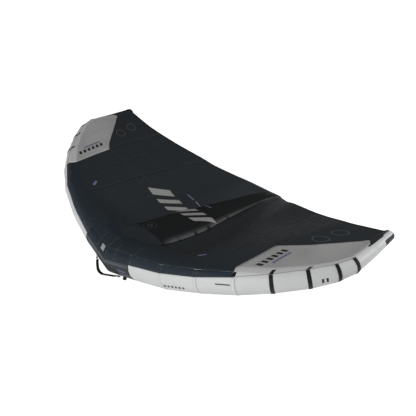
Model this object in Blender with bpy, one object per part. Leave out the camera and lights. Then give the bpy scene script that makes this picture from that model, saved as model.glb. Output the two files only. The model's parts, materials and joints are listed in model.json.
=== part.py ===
"""Inflatable hand-held wing for foil boards.

A swept, segmented leading-edge tube and a centre strut carry a thin canopy.
Lengths are in metres and angles in degrees. X runs to the right-hand tip,
Y runs aft from nose to trailing edge and Z is up. Shapes are laid out from the
nose seam, and one empty then moves the whole wing so that the origin lies
under the middle of its box. Tables of places are shares of the driving sizes.
"""
import math

import bmesh
import bpy
from mathutils import Matrix, Vector

for old in list(bpy.data.objects):
    bpy.data.objects.remove(old, do_unlink=True)

# Driving sizes of the wing
WING_HALF_WIDTH = 1.65
ROOT_CHORD_LENGTH = 2.14
WING_TIP_HEIGHT = 0.596
TUBE_RADIUS = 0.164

# Cloth, film and clearances
GAP = 0.0003
SLEEVE_WALL = 0.0010
BLADDER_WALL = 0.0008
BLADDER_CLEARANCE = 0.0009
CANOPY_CLOTH = 0.0010
CANOPY_CLEARANCE = 0.0006
BAND_CLOTH = 0.0010
BAND_CLEARANCE = 0.0010
CUT_OVERRUN = 0.004

# Leading-edge tube stations from nose to tip: x, y, z and radius
TUBE_STATION_SHARES = [
    (0.000, 0.0757, -0.045, 1.000),
    (0.182, 0.0762, 0.089, 0.902),
    (0.359, 0.0963, 0.190, 0.811),
    (0.530, 0.1266, 0.334, 0.713),
    (0.676, 0.1762, 0.446, 0.628),
    (0.799, 0.2369, 0.557, 0.549),
    (0.903, 0.3089, 0.664, 0.494),
    (0.968, 0.3668, 0.752, 0.445),
    (0.999, 0.4248, 0.810, 0.390),
    (0.998, 0.5327, 0.867, 0.317),
    (0.993, 0.6388, 0.935, 0.238),
]
LAST_STATION = len(TUBE_STATION_SHARES) - 1
CENTRE_STATION = 1
PATCH_STATION = 4
UP_LEAN_SHARE = -0.25
DIFFERENCE_SHARE = 0.01
# Where the seam, the canopy's front edge and its take-off lie round the tube
SEAM_ANGLES = [9, 13, 18, 24, 37, 51, 62, 64, 67, 67, 61]
SKIN_ANGLES = [40, 43, 46, 53, 60]
LEAVE_ANGLES = [96, 122, 106, 94, 88, 86, 86, 86, 86, 86, 86]
STRIP_STEPS = 2
SKIN_STEPS = 4
BACK_STEPS = 18

# Trailing edge: tube station, x, y and z
REAR_EDGE_SHARES = [
    (0.7, 0.0394, 0.9907, 0.0168),
    (1.0, 0.1212, 0.8880, 0.2270),
    (1.5, 0.2091, 0.8300, 0.3320),
    (2.0, 0.3030, 0.7690, 0.4530),
    (2.4, 0.3700, 0.7440, 0.5270),
    (3.0, 0.5630, 0.6990, 0.6510),
    (4.0, 0.7390, 0.6530, 0.8090),
    (5.0, 0.8060, 0.6470, 0.8520),
    (6.0, 0.8730, 0.6430, 0.9010),
    (7.0, 0.9270, 0.6410, 0.9400),
    (8.0, 0.9610, 0.6405, 0.9640),
    (9.0, 0.9770, 0.6405, 0.9920),
    (10.0, 0.9944, 0.6370, 1.0160),
]
# Height of the canopy over its straight chord line: tube station and share
CAMBER_SHARES = [
    (0.7, 0.0), (1.0, -0.016), (1.5, -0.023), (2.0, -0.021), (2.4, -0.014),
    (3.0, 0.0), (3.3, 0.004), (4.0, 0.007), (5.0, 0.005), (6.0, 0.003), (7.0, 0.001),
    (8.0, 0.0025), (8.8, 0.0035), (9.0, 0.0038), (10.0, 0.0032),
]
# Rear border of the pale tip patch along the chord: tube station and share
PATCH_SHARES = [(4.0, 0.38), (5.0, 0.46), (6.0, 0.536), (7.0, 0.59), (8.0, 0.56), (8.8, 0.16)]
INNER_EDGE_STATION = 0.7
INNER_EDGE_LAST_STATION = 3.0
FORWARD_SEAM_ROW = 5
UPRIGHT_STATION = 8
HEM_WIDTH = 0.014

# Strut: y, half width of its top panel, edge height, crown height, tube radius
STRUT_STATION_SHARES = [
    (0.201, 0.1273, 0.126, 0.198, 0.720),
    (0.280, 0.1291, 0.104, 0.188, 0.732),
    (0.421, 0.1261, 0.097, 0.178, 0.720),
    (0.561, 0.0970, 0.097, 0.168, 0.640),
    (0.701, 0.0739, 0.097, 0.148, 0.518),
    (0.864, 0.0497, 0.094, 0.121, 0.366),
    (0.949, 0.0412, 0.059, 0.076, 0.244),
    (0.991, 0.0394, 0.017, 0.023, 0.000),
]
STRUT_SIDES = 20
STRUT_TUBE_STATIONS = 7
STRUT_ROWS_PER_STATION = 2
STRUT_PANEL_ACROSS = 8
STRUT_BLADDER_START_SHARE = 0.166
SADDLE_CLEARANCE = 0.0012
REFINE_STEPS = 24

# Battens at the trailing edge
BATTEN_STATIONS = (2.4, 3.3)
BATTEN_LENGTH = 0.22
BATTEN_WIDTH = 0.018
BATTEN_THICKNESS = 0.0015
BATTEN_MARGIN = 0.012
BATTEN_STEPS = 4
POCKET_MARGIN = 0.008
POCKET_CLOTH = 0.0010
POCKET_CLEARANCE = 0.0006

# Bands round the tube and the tip cap
BAND_STATIONS = (5, 6, 7, 8)
BAND_HALF_WIDTH = 0.013
BAND_END_ANGLE = -150
BAND_STEPS = 14
TAPE_ANGLE = 14
TAPE_STEPS = 2
TIP_CAP_SHARE = 0.62
TIP_DOME = 0.034
TIP_DOME_STEPS = 3

# Nose handle of webbing
NOSE_ANCHOR_X = 0.110
NOSE_ANCHOR_ANGLES = (-28, -46)
NOSE_ANCHOR_LIFT = 0.017
NOSE_ANCHOR_LENGTH = 0.014
NOSE_ANCHOR_WIDTH = 0.030
NOSE_WEBBING_WIDTH = 0.028
NOSE_WEBBING_THICKNESS = 0.003
NOSE_HANDLE_DROP = 0.128
NOSE_PATCH_HALF_LENGTH = 0.140
NOSE_PATCH_HALF_ANGLE = 9

# Leash loop beside the nose handle
LEASH_LOOP_X = 0.150
LEASH_LOOP_ANGLE = -62
LEASH_LOOP_WIDTH = 0.025
LEASH_LOOP_SPAN = 0.034
LEASH_LOOP_HEIGHT = 0.026
LEASH_LOOP_CLOTH = 0.0025
LEASH_LOOP_SINK = 0.0005
LOOP_BEND_SHARE = 0.2

# Inflation valve
VALVE_STATION = -0.80
VALVE_ANGLE = -146
VALVE_BODY_RADIUS = 0.0180
VALVE_BORE_RADIUS = 0.0140
VALVE_DEPTH = 0.016
VALVE_FLANGE_RADIUS = 0.031
VALVE_FLANGE_THICKNESS = 0.0025
VALVE_HEAD_HEIGHT = 0.008
VALVE_CORE_HEIGHT = 0.012
VALVE_CORE_WALL = 0.0018
VALVE_CORE_BORE = 0.0050
VALVE_CAP_WALL = 0.0018
VALVE_BARREL_RADIUS = 0.0024
VALVE_BARREL_LENGTH = 0.0100
VALVE_PIN_RADIUS = 0.0010
VALVE_EAR_THICKNESS = 0.0024
VALVE_SEGMENTS = 32

# One-pump hose from tube to strut
HOSE_RADIUS = 0.008
HOSE_BORE_RADIUS = 0.0055
HOSE_SIDES = 10
HOSE_STEPS = 14
HOSE_SWEEP_SHARE = 0.5
HOSE_PORT_X = 0.185
HOSE_PORT_ANGLE = -172
HOSE_PORT_RADIUS = 0.020
HOSE_PORT_BORE = 0.0035
HOSE_PORT_THICKNESS = 0.003
HOSE_PORT_DEPTH = 0.016
HOSE_NIPPLE_LENGTH = 0.012
HOSE_STRUT_SHARE = 0.262
PORT_SEGMENTS = 24
CLAMP_LENGTH = 0.022
CLAMP_WALL = 0.0024
CLAMP_CLEARANCE = 0.0012
CLAMP_PIN_RADIUS = 0.0012
CLAMP_TAB_LENGTH = 0.010
CLAMP_BARREL_STEPS = 12

# Strut handles
FRONT_HANDLE_START = 0.500
FRONT_HANDLE_LENGTH = 0.330
REAR_HANDLE_START = 0.930
REAR_HANDLE_LENGTH = 0.440
HANDLE_CLEARANCE = 0.062
HANDLE_TUBE_RADIUS = 0.0115
HANDLE_GRIP_RADIUS = 0.0160
HANDLE_BEND_RADIUS = 0.034
HANDLE_FOOT_WIDTH = 0.050
HANDLE_FOOT_LENGTH = 0.070
HANDLE_FOOT_HEIGHT = 0.016
HANDLE_FOOT_CLEARANCE = 0.0009
HANDLE_PATCH_SIDES = 2
HANDLE_PATCH_MARGIN = 0.020
HANDLE_PATCH_CLOTH = 0.0012
GRIP_MARGIN = 0.008

# Harness loops under the strut
FRONT_LOOP_MARGIN = 0.050
REAR_LOOP_MARGIN = 0.042
HARNESS_LOOP_CLOTH = 0.0025
HARNESS_LOOP_WIDTH = 0.020
HARNESS_LOOP_HEIGHT = 0.022
HARNESS_LOOP_SPAN = 0.030

# Zip for taking the bladder out
ZIP_ANGLE = -112
ZIP_START_STATION = 0.18
ZIP_END_STATION = 0.92
ZIP_HALF_ANGLE = 4.5
ZIP_THICKNESS = 0.0012
ZIP_SLIDER_LENGTH = 0.012
ZIP_SLIDER_WIDTH = 0.009
ZIP_SLIDER_HEIGHT = 0.004
ZIP_SLIDER_SHARE = 0.08
ZIP_PULL_LENGTH = 0.026

# Blank label tag on the nose
TAG_STATION = -0.18
TAG_ANGLES = (21, 38)
TAG_HALF_REACH_SHARE = 0.08
TAG_THICKNESS = 0.0012

MATERIALS = {
    "white_dacron": ((0.70, 0.70, 0.70), 0.55, 0.0),
    "navy_dacron": ((0.045, 0.058, 0.075), 0.55, 0.0),
    "canopy_cloth": ((0.022, 0.025, 0.028), 0.60, 0.0),
    "grey_cloth": ((0.30, 0.31, 0.31), 0.60, 0.0),
    "black_cloth": ((0.010, 0.010, 0.011), 0.65, 0.0),
    "webbing": ((0.008, 0.008, 0.008), 0.75, 0.0),
    "bladder_film": ((0.60, 0.62, 0.62), 0.30, 0.0),
    "black_plastic": ((0.012, 0.012, 0.012), 0.45, 0.0),
    "grey_plastic": ((0.18, 0.18, 0.19), 0.45, 0.0),
    "foam": ((0.020, 0.020, 0.022), 0.85, 0.0),
    "carbon_tube": ((0.015, 0.015, 0.016), 0.30, 0.0),
    "rubber_hose": ((0.02, 0.02, 0.02), 0.60, 0.0),
}

wing_origin = bpy.data.objects.new("wing_origin", None)
bpy.context.scene.collection.objects.link(wing_origin)


def make_material(slot):
    colour, roughness, metallic = MATERIALS[slot]
    material = bpy.data.materials.new(slot)
    material.use_nodes = True
    shader = material.node_tree.nodes["Principled BSDF"]
    shader.inputs["Base Color"].default_value = (*colour, 1.0)
    shader.inputs["Roughness"].default_value = roughness
    shader.inputs["Metallic"].default_value = metallic
    return material


def new_pivot(name, place):
    """Give a moving body an empty on its joint's axis."""
    pivot = bpy.data.objects.new(name, None)
    bpy.context.scene.collection.objects.link(pivot)
    pivot.parent = wing_origin
    pivot.location = place
    return pivot


def new_object(name, data, slot, pivot=None):
    piece = bpy.data.objects.new(name, data)
    bpy.context.scene.collection.objects.link(piece)
    piece.data.materials.append(make_material(slot))
    piece.parent = pivot or wing_origin
    if pivot:
        piece.location = -pivot.location
    return piece


def finish_mesh(name, bm, slot, pivot=None, smooth_angle=35, recalculate=True):
    if recalculate:
        bmesh.ops.recalc_face_normals(bm, faces=bm.faces)
    mesh = bpy.data.meshes.new(name)
    bm.to_mesh(mesh)
    bm.free()
    mesh.shade_smooth()
    mesh.set_sharp_from_angle(angle=math.radians(smooth_angle))
    return new_object(name, mesh, slot, pivot)


def add_grid(bm, rows, wrap):
    """Skin a grid with triangles; layers that match split the same way."""
    verts = [[bm.verts.new(point) for point in row] for row in rows]
    columns = len(rows[0])
    faces = []
    for r in range(len(rows) - 1):
        outwards = abs(rows[r + 1][0].x) >= abs(rows[r][0].x)
        for c in range(columns if wrap else columns - 1):
            d = (c + 1) % columns
            near, ahead, far, beside = verts[r][c], verts[r + 1][c], verts[r + 1][d], verts[r][d]
            if outwards:
                faces.append(bm.faces.new((near, ahead, far)))
                faces.append(bm.faces.new((near, far, beside)))
            else:
                faces.append(bm.faces.new((near, ahead, beside)))
                faces.append(bm.faces.new((ahead, far, beside)))
    return verts, faces


def close_border(bm, first, second, wrap):
    """Join two matching runs of vertices with a strip of faces."""
    count = len(first)
    for c in range(count if wrap else count - 1):
        d = (c + 1) % count
        bm.faces.new((first[c], first[d], second[d]))
        bm.faces.new((first[c], second[d], second[c]))


def add_shell(bm, outer, inner, wrap=False):
    """Add one thin sheet with its upper face, lower face and edges."""
    top, _ = add_grid(bm, outer, wrap)
    low, _ = add_grid(bm, inner, wrap)
    close_border(bm, top[0], low[0], wrap)
    close_border(bm, top[-1], low[-1], wrap)
    if not wrap:
        close_border(bm, [row[0] for row in top], [row[0] for row in low], False)
        close_border(bm, [row[-1] for row in top], [row[-1] for row in low], False)


def shell_object(name, sheet, slot, wrap=False, pivot=None):
    bm = bmesh.new()
    add_shell(bm, *sheet, wrap)
    return finish_mesh(name, bm, slot, pivot)


def cut_out_shell(name, sheet, filled, slot):
    """Thin sheet that keeps only the cells of its grid named in filled."""
    bm = bmesh.new()
    made = {}

    def vert(layer, r, c):
        if (layer, r, c) not in made:
            made[layer, r, c] = bm.verts.new(sheet[layer][r][c])
        return made[layer, r, c]

    for r, c in filled:
        corners = ((r, c), (r + 1, c), (r + 1, c + 1), (r, c + 1))
        for layer in (0, 1):
            near, ahead, far, beside = (vert(layer, *corner) for corner in corners)
            bm.faces.new((near, ahead, far))
            bm.faces.new((near, far, beside))
        beyond = ((r, c - 1), (r + 1, c), (r, c + 1), (r - 1, c))
        for k, neighbour in enumerate(beyond):
            if neighbour in filled:
                continue
            first, second = corners[k], corners[(k + 1) % 4]
            bm.faces.new((vert(0, *first), vert(0, *second), vert(1, *second)))
            bm.faces.new((vert(0, *first), vert(1, *second), vert(1, *first)))
    return finish_mesh(name, bm, slot)


def add_loft(bm, rings):
    """Skin closed rings and close both ends with a fan."""
    verts, _ = add_grid(bm, rings, True)
    for ring in (verts[0], verts[-1]):
        centre = bm.verts.new(sum((v.co for v in ring), Vector()) / len(ring))
        for c in range(len(ring)):
            bm.faces.new((ring[c], ring[(c + 1) % len(ring)], centre))


def loft_object(name, rings, slot, pivot=None):
    bm = bmesh.new()
    add_loft(bm, rings)
    return finish_mesh(name, bm, slot, pivot)


def table_at(table, key):
    """Read a table of (key, values...) on a smooth curve through its rows."""
    keys = [row[0] for row in table]
    key = min(max(key, keys[0]), keys[-1])
    i = min(max(j for j in range(len(keys) - 1) if keys[j] <= key or j == 0), len(keys) - 2)
    span = keys[i + 1] - keys[i]
    t = (key - keys[i]) / span

    def slope(j, column):
        low, high = max(j - 1, 0), min(j + 1, len(keys) - 1)
        return (table[high][column] - table[low][column]) / (keys[high] - keys[low])

    values = []
    for column in range(1, len(table[0])):
        start, end = table[i][column], table[i + 1][column]
        h00 = 2 * t ** 3 - 3 * t ** 2 + 1
        h10 = t ** 3 - 2 * t ** 2 + t
        h01 = 3 * t ** 2 - 2 * t ** 3
        h11 = t ** 3 - t ** 2
        bend = h10 * slope(i, column) + h11 * slope(i + 1, column)
        values.append(h00 * start + h01 * end + span * bend)
    return values


def mirrored(point, side):
    return Vector((point.x * side, point.y, point.z))


# Leading-edge tube

def tube_centre(i):
    x, y, z, _ = TUBE_STATION_SHARES[i]
    return Vector((x * WING_HALF_WIDTH, y * ROOT_CHORD_LENGTH, z * WING_TIP_HEIGHT))


def tube_radius(i):
    return TUBE_STATION_SHARES[i][3] * TUBE_RADIUS


def tube_direction(i):
    return (tube_centre(i + 1) - tube_centre(i)).normalized()


def tube_frame(i):
    """Mitre plane of a station: along, front, up, bend direction and stretch."""
    ahead = tube_direction(min(i, LAST_STATION - 1))
    behind = tube_direction(i - 1) if i > 0 else Vector((ahead.x, -ahead.y, -ahead.z))
    along = (ahead + behind).normalized()
    up = Vector((UP_LEAN_SHARE, 0, 1))
    up -= along * up.dot(along)
    up.normalize()
    bend = ahead - behind
    if bend.length:
        bend.normalize()
    return along, along.cross(up), up, bend, 1 / ahead.dot(along)


TUBE_FRAMES = [tube_frame(i) for i in range(LAST_STATION + 1)]


def ring_point(i, angle, lift):
    _, front, up, bend, stretch = TUBE_FRAMES[i]
    turn = math.radians(angle)
    arm = (front * math.cos(turn) + up * math.sin(turn)) * (tube_radius(i) + lift)
    arm += bend * arm.dot(bend) * (stretch - 1)
    return tube_centre(i) + arm


def sector_angle(i, sector, share, outer):
    """Angle round the tube of a place in its strip, skin or back sector."""
    seam = SEAM_ANGLES[i]
    skin = seam if outer else SKIN_ANGLES[i]
    leave = LEAVE_ANGLES[i]
    start, end = {"strip": (seam, skin), "skin": (skin, leave), "back": (leave, seam + 360)}[sector]
    return start + (end - start) * share


def split_station(s):
    i = min(int(abs(s)), LAST_STATION - 1)
    return (-1 if s < 0 else 1), i, abs(s) - i


def tube_point(s, sector, share, lift=0.0):
    """Point on the tube; s counts stations, below zero on the left."""
    side, i, f = split_station(s)
    outer = i >= PATCH_STATION
    near = ring_point(i, sector_angle(i, sector, share, outer), lift)
    far = ring_point(i + 1, sector_angle(i + 1, sector, share, outer), lift)
    return mirrored(near.lerp(far, f), side)


def tube_at_angle(s, angle, lift=0.0):
    side, i, f = split_station(s)
    return mirrored(ring_point(i, angle, lift).lerp(ring_point(i + 1, angle, lift), f), side)


def tube_normal(s, angle):
    """Outward direction square to the tube's skin."""
    along = tube_at_angle(s + DIFFERENCE_SHARE, angle) - tube_at_angle(s - DIFFERENCE_SHARE, angle)
    round_it = tube_at_angle(s, angle + 1) - tube_at_angle(s, angle - 1)
    normal = along.cross(round_it).normalized()
    arm = tube_at_angle(s, angle) - tube_at_angle(s, angle, -TUBE_RADIUS / 2)
    return normal if normal.dot(arm) > 0 else -normal


def nearest_on_tube(point, s, angle):
    """Place on the tube's skin under a point, with the skin's outward direction."""
    for _ in range(REFINE_STEPS):
        miss = point - tube_at_angle(s, angle)
        along = tube_at_angle(s + DIFFERENCE_SHARE, angle) - tube_at_angle(s - DIFFERENCE_SHARE, angle)
        round_it = tube_at_angle(s, angle + 1) - tube_at_angle(s, angle - 1)
        s += 2 * DIFFERENCE_SHARE * miss.dot(along) / along.length_squared
        angle += 2 * miss.dot(round_it) / round_it.length_squared
    return tube_at_angle(s, angle), tube_normal(s, angle)


def drop_to_tube(point, direction, lift, s, angle):
    """Follow a direction from a point down to a height over the tube."""
    low, high = 0, TUBE_RADIUS / 2
    for _ in range(REFINE_STEPS):
        reach = (low + high) / 2
        foot, outward = nearest_on_tube(point + direction * reach, s, angle)
        if (point + direction * reach - foot).dot(outward) > lift:
            low = reach
        else:
            high = reach
    return point + direction * high


def station_of_x(x):
    """Station number on the nose segments where the tube's centre has this x."""
    return x / tube_centre(CENTRE_STATION).x


def round_breaks(s):
    """Every break round the tube as sector and share, from seam to seam."""
    if split_station(s)[1] >= PATCH_STATION:
        steps = STRIP_STEPS + SKIN_STEPS
        breaks = [("skin", k / steps) for k in range(steps)]
    else:
        breaks = [("strip", k / STRIP_STEPS) for k in range(STRIP_STEPS)]
        breaks += [("skin", k / SKIN_STEPS) for k in range(SKIN_STEPS)]
    return breaks + [("back", k / BACK_STEPS) for k in range(BACK_STEPS + 1)]


def tube_row(s, first, last, lift, step=1):
    """Points round the tube between two break numbers."""
    breaks = round_breaks(s)
    return [tube_point(s, *breaks[k], lift) for k in range(first, last + 1, step)]


ALL_BREAKS = STRIP_STEPS + SKIN_STEPS + BACK_STEPS
INNER_ROWS = [0, 0.35, INNER_EDGE_STATION, 1, 1.5, 2, 2.4, 3, 3.3, 4]
OUTER_ROWS = [4, 5, 6, 7, 8, 8.8, 9, LAST_STATION - 1 + TIP_CAP_SHARE, LAST_STATION]
SHORTEST_SEGMENT = min((tube_centre(i + 1) - tube_centre(i)).length for i in range(LAST_STATION))
STATION_GAP = GAP / 2 / SHORTEST_SEGMENT


def rows_between(start, end, rows=None):
    """Rows of a panel, drawn in at both ends to leave the seam gap."""
    rows = rows or sorted(set(INNER_ROWS + OUTER_ROWS))
    inside = [row for row in rows if start < row < end]
    return [start + STATION_GAP] + inside + [end - STATION_GAP]


def tube_sheet(stations, first, last, trim=(0, 0)):
    """Sleeve sheet over some breaks; trim draws its long edges in by the gap."""
    outer = []
    inner = []
    for s in stations:
        for rows, lift in ((outer, 0.0), (inner, -SLEEVE_WALL)):
            row = tube_row(s, first, last, lift)
            for end, next_one, drawn in ((0, 1, trim[0]), (-1, -2, trim[1])):
                inward = row[next_one] - row[end]
                row[end] = row[end] + inward.normalized() * (GAP * drawn)
            rows.append(row)
    return outer, inner


SIDES = (("left", -1), ("right", 1))


def signed(stations, side):
    return [s * side for s in stations]


def make_sleeves():
    centre_rows = rows_between(0, CENTRE_STATION)[1:]
    stations = signed(reversed(centre_rows), -1) + [0.0] + centre_rows
    outer = [tube_row(s, 0, ALL_BREAKS - 1, 0.0) for s in stations]
    inner = [tube_row(s, 0, ALL_BREAKS - 1, -SLEEVE_WALL) for s in stations]
    pieces = {"centre": shell_object("le_centre_sleeve", (outer, inner), "navy_dacron", wrap=True)}
    for word, side in SIDES:
        inner_rows = signed(rows_between(CENTRE_STATION, PATCH_STATION), side)
        shell_object(f"le_top_strip_{word}", tube_sheet(inner_rows, 0, STRIP_STEPS, (1, 0)), "navy_dacron")
        front = tube_sheet(inner_rows, STRIP_STEPS, ALL_BREAKS, (1, 0))
        shell_object(f"le_front_sleeve_{word}", front, "white_dacron")
        stations = signed(rows_between(PATCH_STATION, LAST_STATION - 1 + TIP_CAP_SHARE), side)
        outer = [tube_row(s, 0, ALL_BREAKS - 1, 0.0) for s in stations]
        inner = [tube_row(s, 0, ALL_BREAKS - 1, -SLEEVE_WALL) for s in stations]
        shell_object(f"le_outer_sleeve_{word}", (outer, inner), "white_dacron", wrap=True)
    return pieces


def dome_rows(s, lift, reach, step=1):
    """Rings that close the tube's tip in a dome."""
    base = tube_row(s, 0, ALL_BREAKS - 1, lift, step)
    side, i, _ = split_station(s)
    along = mirrored(tube_direction(i), side)
    centre = sum(base, Vector()) / len(base)
    rings = []
    for k in range(1, TIP_DOME_STEPS + 1):
        turn = math.radians(90 * k / (TIP_DOME_STEPS + 0.5))
        forward = along * (reach * math.sin(turn))
        rings.append([centre + (p - centre) * math.cos(turn) + forward for p in base])
    return rings


def fan(bm, ring, centre):
    tip = bm.verts.new(centre)
    return [bm.faces.new((ring[c], ring[(c + 1) % len(ring)], tip)) for c in range(len(ring))]


def add_vessel(bm, rows, caps):
    """Closed skin over rings, with a fan on each capped end."""
    verts, faces = add_grid(bm, rows, True)
    for end, ring in ((0, verts[0]), (-1, verts[-1])):
        if end in caps:
            faces += fan(bm, ring, sum((v.co for v in ring), Vector()) / len(ring))
    return verts, faces


def make_tip_caps():
    for word, side in SIDES:
        start = LAST_STATION - 1 + TIP_CAP_SHARE
        end = (LAST_STATION) * side
        stations = signed([start + STATION_GAP, LAST_STATION], side)
        bm = bmesh.new()
        outer_rows = [tube_row(s, 0, ALL_BREAKS - 1, 0.0) for s in stations] + dome_rows(end, 0.0, TIP_DOME)
        inner_rows = [tube_row(s, 0, ALL_BREAKS - 1, -SLEEVE_WALL) for s in stations]
        inner_rows += dome_rows(end, -SLEEVE_WALL, TIP_DOME - SLEEVE_WALL)
        outer, _ = add_vessel(bm, outer_rows, (-1,))
        inner, _ = add_vessel(bm, inner_rows, (-1,))
        close_border(bm, outer[0], inner[0], True)
        finish_mesh(f"le_tip_cap_{word}", bm, "navy_dacron")


def band_row(s, lift):
    """Points from the canopy's edge round the front and under to the tape."""
    side, i, f = split_station(s)
    row = []
    for k in range(BAND_STEPS + TAPE_STEPS + 1):
        ends = []
        for station in (i, i + 1):
            start = SEAM_ANGLES[station] - math.degrees(2 * GAP / tube_radius(station))
            if k <= BAND_STEPS:
                angle = start + (BAND_END_ANGLE - start) * k / BAND_STEPS
            else:
                angle = BAND_END_ANGLE - TAPE_ANGLE * (k - BAND_STEPS) / TAPE_STEPS
            ends.append(ring_point(station, angle, lift))
        row.append(mirrored(ends[0].lerp(ends[1], f), side))
    return row


def make_bands():
    """Bands round the segment joints, held together by the seam tape."""
    stations = []
    for station in BAND_STATIONS:
        reach = BAND_HALF_WIDTH / (tube_centre(station + 1) - tube_centre(station)).length
        back = BAND_HALF_WIDTH / (tube_centre(station) - tube_centre(station - 1)).length
        stations += [station - back, station, station + reach]
    filled = set()
    for r in range(len(stations) - 1):
        first = 0 if r % 3 < 2 else BAND_STEPS
        filled.update((r, c) for c in range(first, BAND_STEPS + TAPE_STEPS))
    filled = dict.fromkeys(sorted(filled))
    for word, side in SIDES:
        rows = signed(stations, side)
        outer = [band_row(s, BAND_CLEARANCE + BAND_CLOTH) for s in rows]
        inner = [band_row(s, BAND_CLEARANCE) for s in rows]
        cut_out_shell(f"le_bands_{word}", (outer, inner), filled, "black_cloth")


def make_le_bladder():
    lift = -SLEEVE_WALL - BLADDER_CLEARANCE
    inner = [CENTRE_STATION / 2, CENTRE_STATION, 2, 3]
    right = inner + [PATCH_STATION - STATION_GAP, PATCH_STATION + STATION_GAP, 5, 6, 7, 8, 9, LAST_STATION]
    stations = signed(reversed(right), -1) + [0.0] + right
    bm = bmesh.new()
    for depth, reach in ((0.0, BLADDER_CLEARANCE), (BLADDER_WALL, BLADDER_CLEARANCE + BLADDER_WALL)):
        rows = [tube_row(s, 0, ALL_BREAKS - 1, lift - depth, 2) for s in stations]
        dome = TIP_DOME - SLEEVE_WALL - reach
        near = dome_rows(-LAST_STATION, lift - depth, dome, 2)
        far = dome_rows(LAST_STATION, lift - depth, dome, 2)
        _, faces = add_vessel(bm, list(reversed(near)) + rows + far, (0, -1))
        bmesh.ops.recalc_face_normals(bm, faces=faces)
        if depth:
            bmesh.ops.reverse_faces(bm, faces=faces)
    return finish_mesh("le_bladder", bm, "bladder_film", recalculate=False)


# Canopy

def rear_edge(s):
    x, y, z = table_at(REAR_EDGE_SHARES, abs(s))
    return Vector((x * WING_HALF_WIDTH, y * ROOT_CHORD_LENGTH, z * WING_TIP_HEIGHT))


def front_edge(s):
    return tube_point(abs(s), "back", 0, CANOPY_CLEARANCE + CANOPY_CLOTH)


def strut_values(share):
    """Half width, edge height, crown height and tube radius of the strut."""
    half, edge, crown, radius = table_at(STRUT_STATION_SHARES, share)
    return half * WING_HALF_WIDTH, edge * WING_TIP_HEIGHT, crown * WING_TIP_HEIGHT, radius * TUBE_RADIUS


def strut_shares(count):
    """Chord shares of the strut's rows, up to a number of its stations."""
    shares = []
    for i in range(count - 1):
        start, end = STRUT_STATION_SHARES[i][0], STRUT_STATION_SHARES[i + 1][0]
        shares += [start + (end - start) * k / STRUT_ROWS_PER_STATION for k in range(STRUT_ROWS_PER_STATION)]
    return shares + [STRUT_STATION_SHARES[count - 1][0]]


STRUT_START_SHARE = STRUT_STATION_SHARES[0][0]
STRUT_END_SHARE = STRUT_STATION_SHARES[-1][0]


def strut_top_point(across, share):
    half, edge, crown, _ = strut_values(share)
    return Vector((across * half, share * ROOT_CHORD_LENGTH, edge + (crown - edge) * (1 - across ** 2)))


def inner_edge(v):
    """Line where the main canopy meets the nose panel and the strut panel."""
    start = front_edge(INNER_EDGE_STATION)
    front = strut_top_point(1, STRUT_START_SHARE)
    y = start.y + (STRUT_END_SHARE * ROOT_CHORD_LENGTH - start.y) * v
    if y < front.y:
        return start.lerp(front, (y - start.y) / (front.y - start.y))
    return strut_top_point(1, y / ROOT_CHORD_LENGTH)


def canopy_point(s, v):
    """Upper face of the canopy from its take-off (v 0) to the rear edge (v 1)."""
    side = -1 if s < 0 else 1
    s = abs(s)
    point = front_edge(s).lerp(rear_edge(s), v)
    point.z += table_at(CAMBER_SHARES, s)[0] * ROOT_CHORD_LENGTH * math.sin(math.pi * v)
    base = front_edge(INNER_EDGE_STATION).lerp(rear_edge(INNER_EDGE_STATION), v)
    t = min((s - INNER_EDGE_STATION) / (INNER_EDGE_LAST_STATION - INNER_EDGE_STATION), 1)
    fade = (1 - t) ** 2 * (1 + 2 * t)
    point += (inner_edge(v) - base) * fade
    return mirrored(point, side)


def canopy_normal(s, v):
    """Upward direction square to the canopy; plain up near its narrow corner."""
    if abs(s) > UPRIGHT_STATION:
        return Vector((0, 0, 1))
    side = -1 if s < 0 else 1
    ahead = min(abs(s) + DIFFERENCE_SHARE, LAST_STATION)
    behind = max(abs(s) - DIFFERENCE_SHARE, INNER_EDGE_STATION)
    along = canopy_point(ahead * side, v) - canopy_point(behind * side, v)
    rear = min(v + DIFFERENCE_SHARE, 1)
    aft = canopy_point(s, rear) - canopy_point(s, rear - DIFFERENCE_SHARE)
    normal = along.cross(aft).normalized()
    return normal if normal.z > 0 else -normal


def canopy_under(s, v, depth):
    return canopy_point(s, v) - canopy_normal(s, v) * depth


def chord_shares():
    """Chord shares of the canopy's rows, level with the strut panel's rows."""
    start = front_edge(INNER_EDGE_STATION).y
    reach = STRUT_END_SHARE * ROOT_CHORD_LENGTH - start
    level = [(share * ROOT_CHORD_LENGTH - start) / reach for share in strut_shares(len(STRUT_STATION_SHARES))]
    return [level[0] / 2, level[0]] + level[2:-2]


CHORD_SHARES = chord_shares()
FORWARD_SEAM = CHORD_SHARES[FORWARD_SEAM_ROW]


def chord_rows(start, end):
    inside = [v for v in CHORD_SHARES if start < v < end]
    return [start] + inside + [end]


def skin_on_tube(s, lift):
    outer_kind = split_station(s)[1] >= PATCH_STATION
    steps = STRIP_STEPS + SKIN_STEPS if outer_kind else SKIN_STEPS
    return [tube_point(s, "skin", k / steps, lift) for k in range(steps + 1)]


def canopy_sheet(stations, start, end, count=None, on_tube=False):
    """Canopy sheet; start and end give the chord share at a station."""
    outer = []
    inner = []
    for s in stations:
        v_start, v_end = start(abs(s)), end(abs(s))
        if count:
            shares = [v_start + (v_end - v_start) * k / count for k in range(count + 1)]
        else:
            shares = chord_rows(v_start, v_end)
        top = [canopy_point(s, v) for v in shares]
        low = [canopy_under(s, v, CANOPY_CLOTH) for v in shares]
        if on_tube:
            top = skin_on_tube(s, CANOPY_CLEARANCE + CANOPY_CLOTH) + top[1:]
            low = skin_on_tube(s, CANOPY_CLEARANCE) + low[1:]
        outer.append(top)
        inner.append(low)
    return outer, inner


PATCH_COUNT = 6
TIP_PANEL_COUNT = 6


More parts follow.
